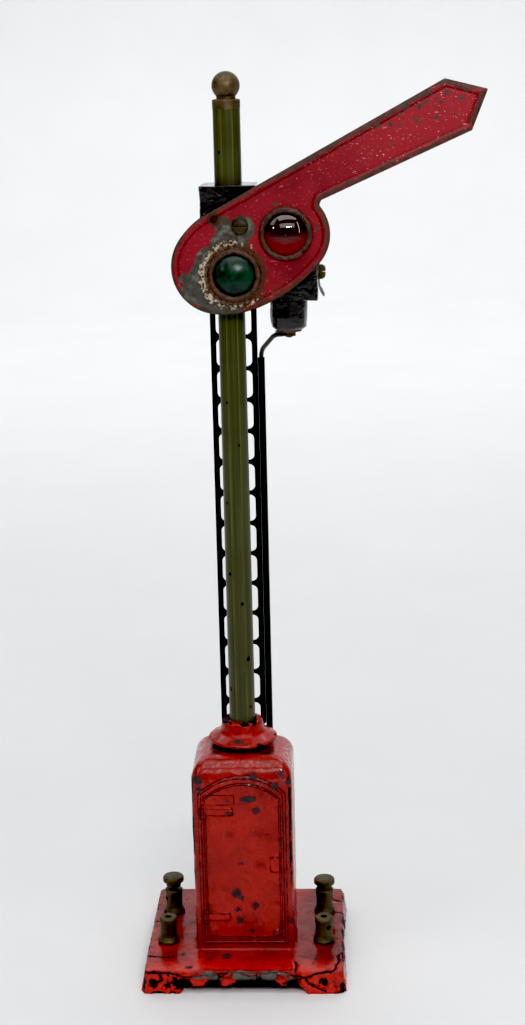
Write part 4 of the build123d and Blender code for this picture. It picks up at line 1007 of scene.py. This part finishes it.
def pressed_arm():
    """The blade's rim becomes a rounded bead, and the sheet gets its dents and rust lumps."""
    mesh = even_mesh("arm_plate", 0.4, 3)
    points, normals = points_of(mesh)
    x, _, z = points.T
    flat = points * (1, 0, 1)
    inset = np.full(len(points), FAR)
    for start, end in outline_of("arm_plate", ARM_BACK):
        inset = np.minimum(inset, chain_gap(flat, (start, end)))
    front = normals[:, 1] < -FACING
    push = -0.5 * step(inset, 1.1, 0.0) - 0.15 * step(np.abs(inset - 2.9), 0.9, 0.0)
    push += 0.10 * lumps(points, 16, 2, 0.2) + 0.03 * lumps(points, 2.5, 3, 0.7)
    lens = on_arm(*GREEN)
    reach = np.hypot(x - lens.x, z - lens.z)
    side = (lens.x - x) / np.maximum(reach, 1)
    below = (lens.z - z) / np.maximum(reach, 1)
    thick = 0.34 + 0.27 * side + 0.14 * np.abs(below) + 0.5 * lumps(points, 1.2, 3, 1.1)
    crust = step(reach, 16.4, 13.2) * thick
    push += 0.32 * step(crust, 0.4, 0.7)
    moved = points.copy()
    moved[:, 1] -= np.where(front, push, 0)
    move_points(mesh, moved)
    keep_field(mesh, "inset", inset + 1)
    keep_field(mesh, "crust", np.clip(crust, 0, 1))
    stand_for("arm_plate", mesh, "arm_pressed")


def rough_casting(node, voxel, rounds, coarse, fine, name):
    """A casting under thick paint: its corners rounded, its faces lumpy and crinkled."""
    mesh = even_mesh(node, voxel, rounds)
    points, normals = points_of(mesh)
    low, high = corners(node)
    push = coarse * (lumps(points, 6, 2, 0.5) - 0.4)
    push += fine * np.abs(lumps(points, 2.2, 3, 1.4)) - fine * 0.5
    push *= step(np.linalg.norm(points[:, :2], axis=1), *HEAD_BORE)
    moved = points + normals * push[:, None]
    move_points(mesh, np.clip(moved, low, high))
    stand_for(node, mesh, name)


def worn_bezel(node, name, seed):
    """A lens ring with dents and rust, its back left flat on the arm."""
    mesh = even_mesh(node, 0.26, 2)
    points, normals = points_of(mesh)
    push = 0.10 * lumps(points, 3.5, 2, seed) + 0.06 * lumps(points, 1.1, 3, seed + 2) - 0.05
    push *= normals[:, 1] < 0.2
    move_points(mesh, points + normals * push[:, None])
    stand_for(node, mesh, name)


def crumpled_tag():
    """The thin tag, bent about within its own box."""
    mesh = even_mesh("earth_tag", 0.22, 1)
    points, normals = points_of(mesh)
    low, high = corners("earth_tag")
    shift = np.stack([lumps(points, 3.0, 2, seed) for seed in (0.1, 2.3, 4.1)], axis=1)
    move_points(mesh, np.clip(points + 0.5 * shift, low, high))
    stand_for("earth_tag", mesh, "earth_tag_crumpled")


# ---- floor, backdrop, lights and camera ---------------------------------------------------


def paper():
    """A plain pale surface."""
    g = Graph("pale_paper")
    tone = g.noise(120, 3)
    g.bump(g.noise(1.5, 3), 0.05, 0.2)
    return g.finish(g.mix(tone, rgb(222, 223, 224), rgb(229, 230, 231)), 0.6)


def sweep():
    """The floor and a backdrop that rises from it in one curve."""
    wide, front, back, rise = 3.2, -3.0, 2.4, 2.6
    radius = 0.5
    profile = [(front, 0.0), (back - radius, 0.0)]
    bends = 12
    for bend in range(1, bends + 1):
        turn = math.radians(90 * bend / bends)
        profile.append((back - radius + radius * math.sin(turn), radius - radius * math.cos(turn)))
    profile.append((back, rise))
    mesh = bpy.data.meshes.new("sweep")
    points = [(x, y, z) for y, z in profile for x in (-wide, wide)]
    faces = [(2 * i, 2 * i + 1, 2 * i + 3, 2 * i + 2) for i in range(len(profile) - 1)]
    mesh.from_pydata(points, [], faces)
    mesh.polygons.foreach_set("use_smooth", [True] * len(faces))
    mesh.materials.append(paper())
    placed("sweep", mesh)


def softbox(name, azimuth, elevation, distance, width, height, power, aim):
    """A rectangular light, seen from the aim point at that azimuth (0 is -Y, + is +X) and elevation
    in degrees, its distance and size in metres."""
    light = bpy.data.lights.new(name, "AREA")
    light.shape = "RECTANGLE"
    light.size = width
    light.size_y = height
    light.energy = power
    lamp = placed(name, light)
    a, e = math.radians(azimuth), math.radians(elevation)
    away = Vector((math.sin(a) * math.cos(e), -math.cos(a) * math.cos(e), math.sin(e)))
    lamp.location = Vector(aim) + away * distance
    lamp.rotation_euler = away.to_track_quat("Z", "Y").to_euler()


HEAD = (0.01, -0.01, 0.30)
LIGHTS = [
    ("window", 6, 30, 1.5, 1.5, 0.42, 3.4, HEAD),
    ("overhead", 10, 76, 1.7, 1.7, 1.1, 12.5, (0, 0, 0)),
    ("wall_wash", 0, 55, 1.5, 4.0, 0.6, 34, (0, 2.3, 0.5)),
    ("floor_wash", 0, 88, 1.6, 3.0, 1.0, 11, (0, 1.1, 0)),
    ("small_lamp", -50, 18, 1.5, 0.07, 0.07, 0.8, HEAD),
    ("left_fill", -60, 40, 1.8, 0.5, 0.9, 2, HEAD),
    ("brow_glint", 14, 40, 0.7, 0.2, 0.008, 1.3, (0, -0.02, 0.095)),
    ("right_strip", 52, 18, 1.5, 0.05, 1.0, 1.2, HEAD),
]


def studio():
    """A dim pale room, the lights, and the picture's own tones."""
    world = bpy.data.worlds.new("studio")
    world.use_nodes = True
    background = world.node_tree.nodes["Background"]
    background.inputs["Color"].default_value = (0.93, 0.96, 1.0, 1)
    background.inputs["Strength"].default_value = 0.1
    scene = bpy.context.scene
    scene.world = world
    scene.view_settings.view_transform = "Standard"
    scene.view_settings.use_curve_mapping = True
    scene.view_settings.curve_mapping.black_level = (0.022, 0.022, 0.022)
    for light in LIGHTS:
        softbox(*light)


FOCAL_LENGTH = 64.64
EYE = (0.04636, -0.75236, 0.39712)
LOOKING = (-0.0457, 0.9669, -0.2511)
PICTURE_RIGHT = (0.9989, 0.0414, -0.0225)


def camera():
    """The camera stands in front, a little above the arm, and looks down at the mast."""
    forward = Vector(LOOKING).normalized()
    right = Vector(PICTURE_RIGHT)
    right = (right - forward * right.dot(forward)).normalized()
    up = right.cross(forward)
    data = bpy.data.cameras.new("camera")
    data.sensor_fit = "AUTO"
    data.sensor_width = 36
    data.lens = FOCAL_LENGTH
    eye = placed("camera", data)
    turn = Matrix((right, up, -forward)).transposed()
    eye.matrix_world = Matrix.Translation(EYE) @ turn.to_4x4()
    bpy.context.scene.camera = eye


worn_base()
worn_collar()
pressed_arm()
rough_casting("head_bracket", 0.4, 3, 0.22, 0.2, "head_bracket_painted")
rough_casting("lamp_house", 0.4, 3, 0.22, 0.2, "lamp_house_painted")
rough_casting("lamp_socket", 0.35, 2, 0.2, 0.12, "lamp_socket_painted")
worn_bezel("red_bezel", "red_bezel_worn", 0.3)
worn_bezel("green_bezel", "green_bezel_worn", 1.9)
crumpled_tag()
sweep()
studio()
camera()

bpy.context.view_layer.update()
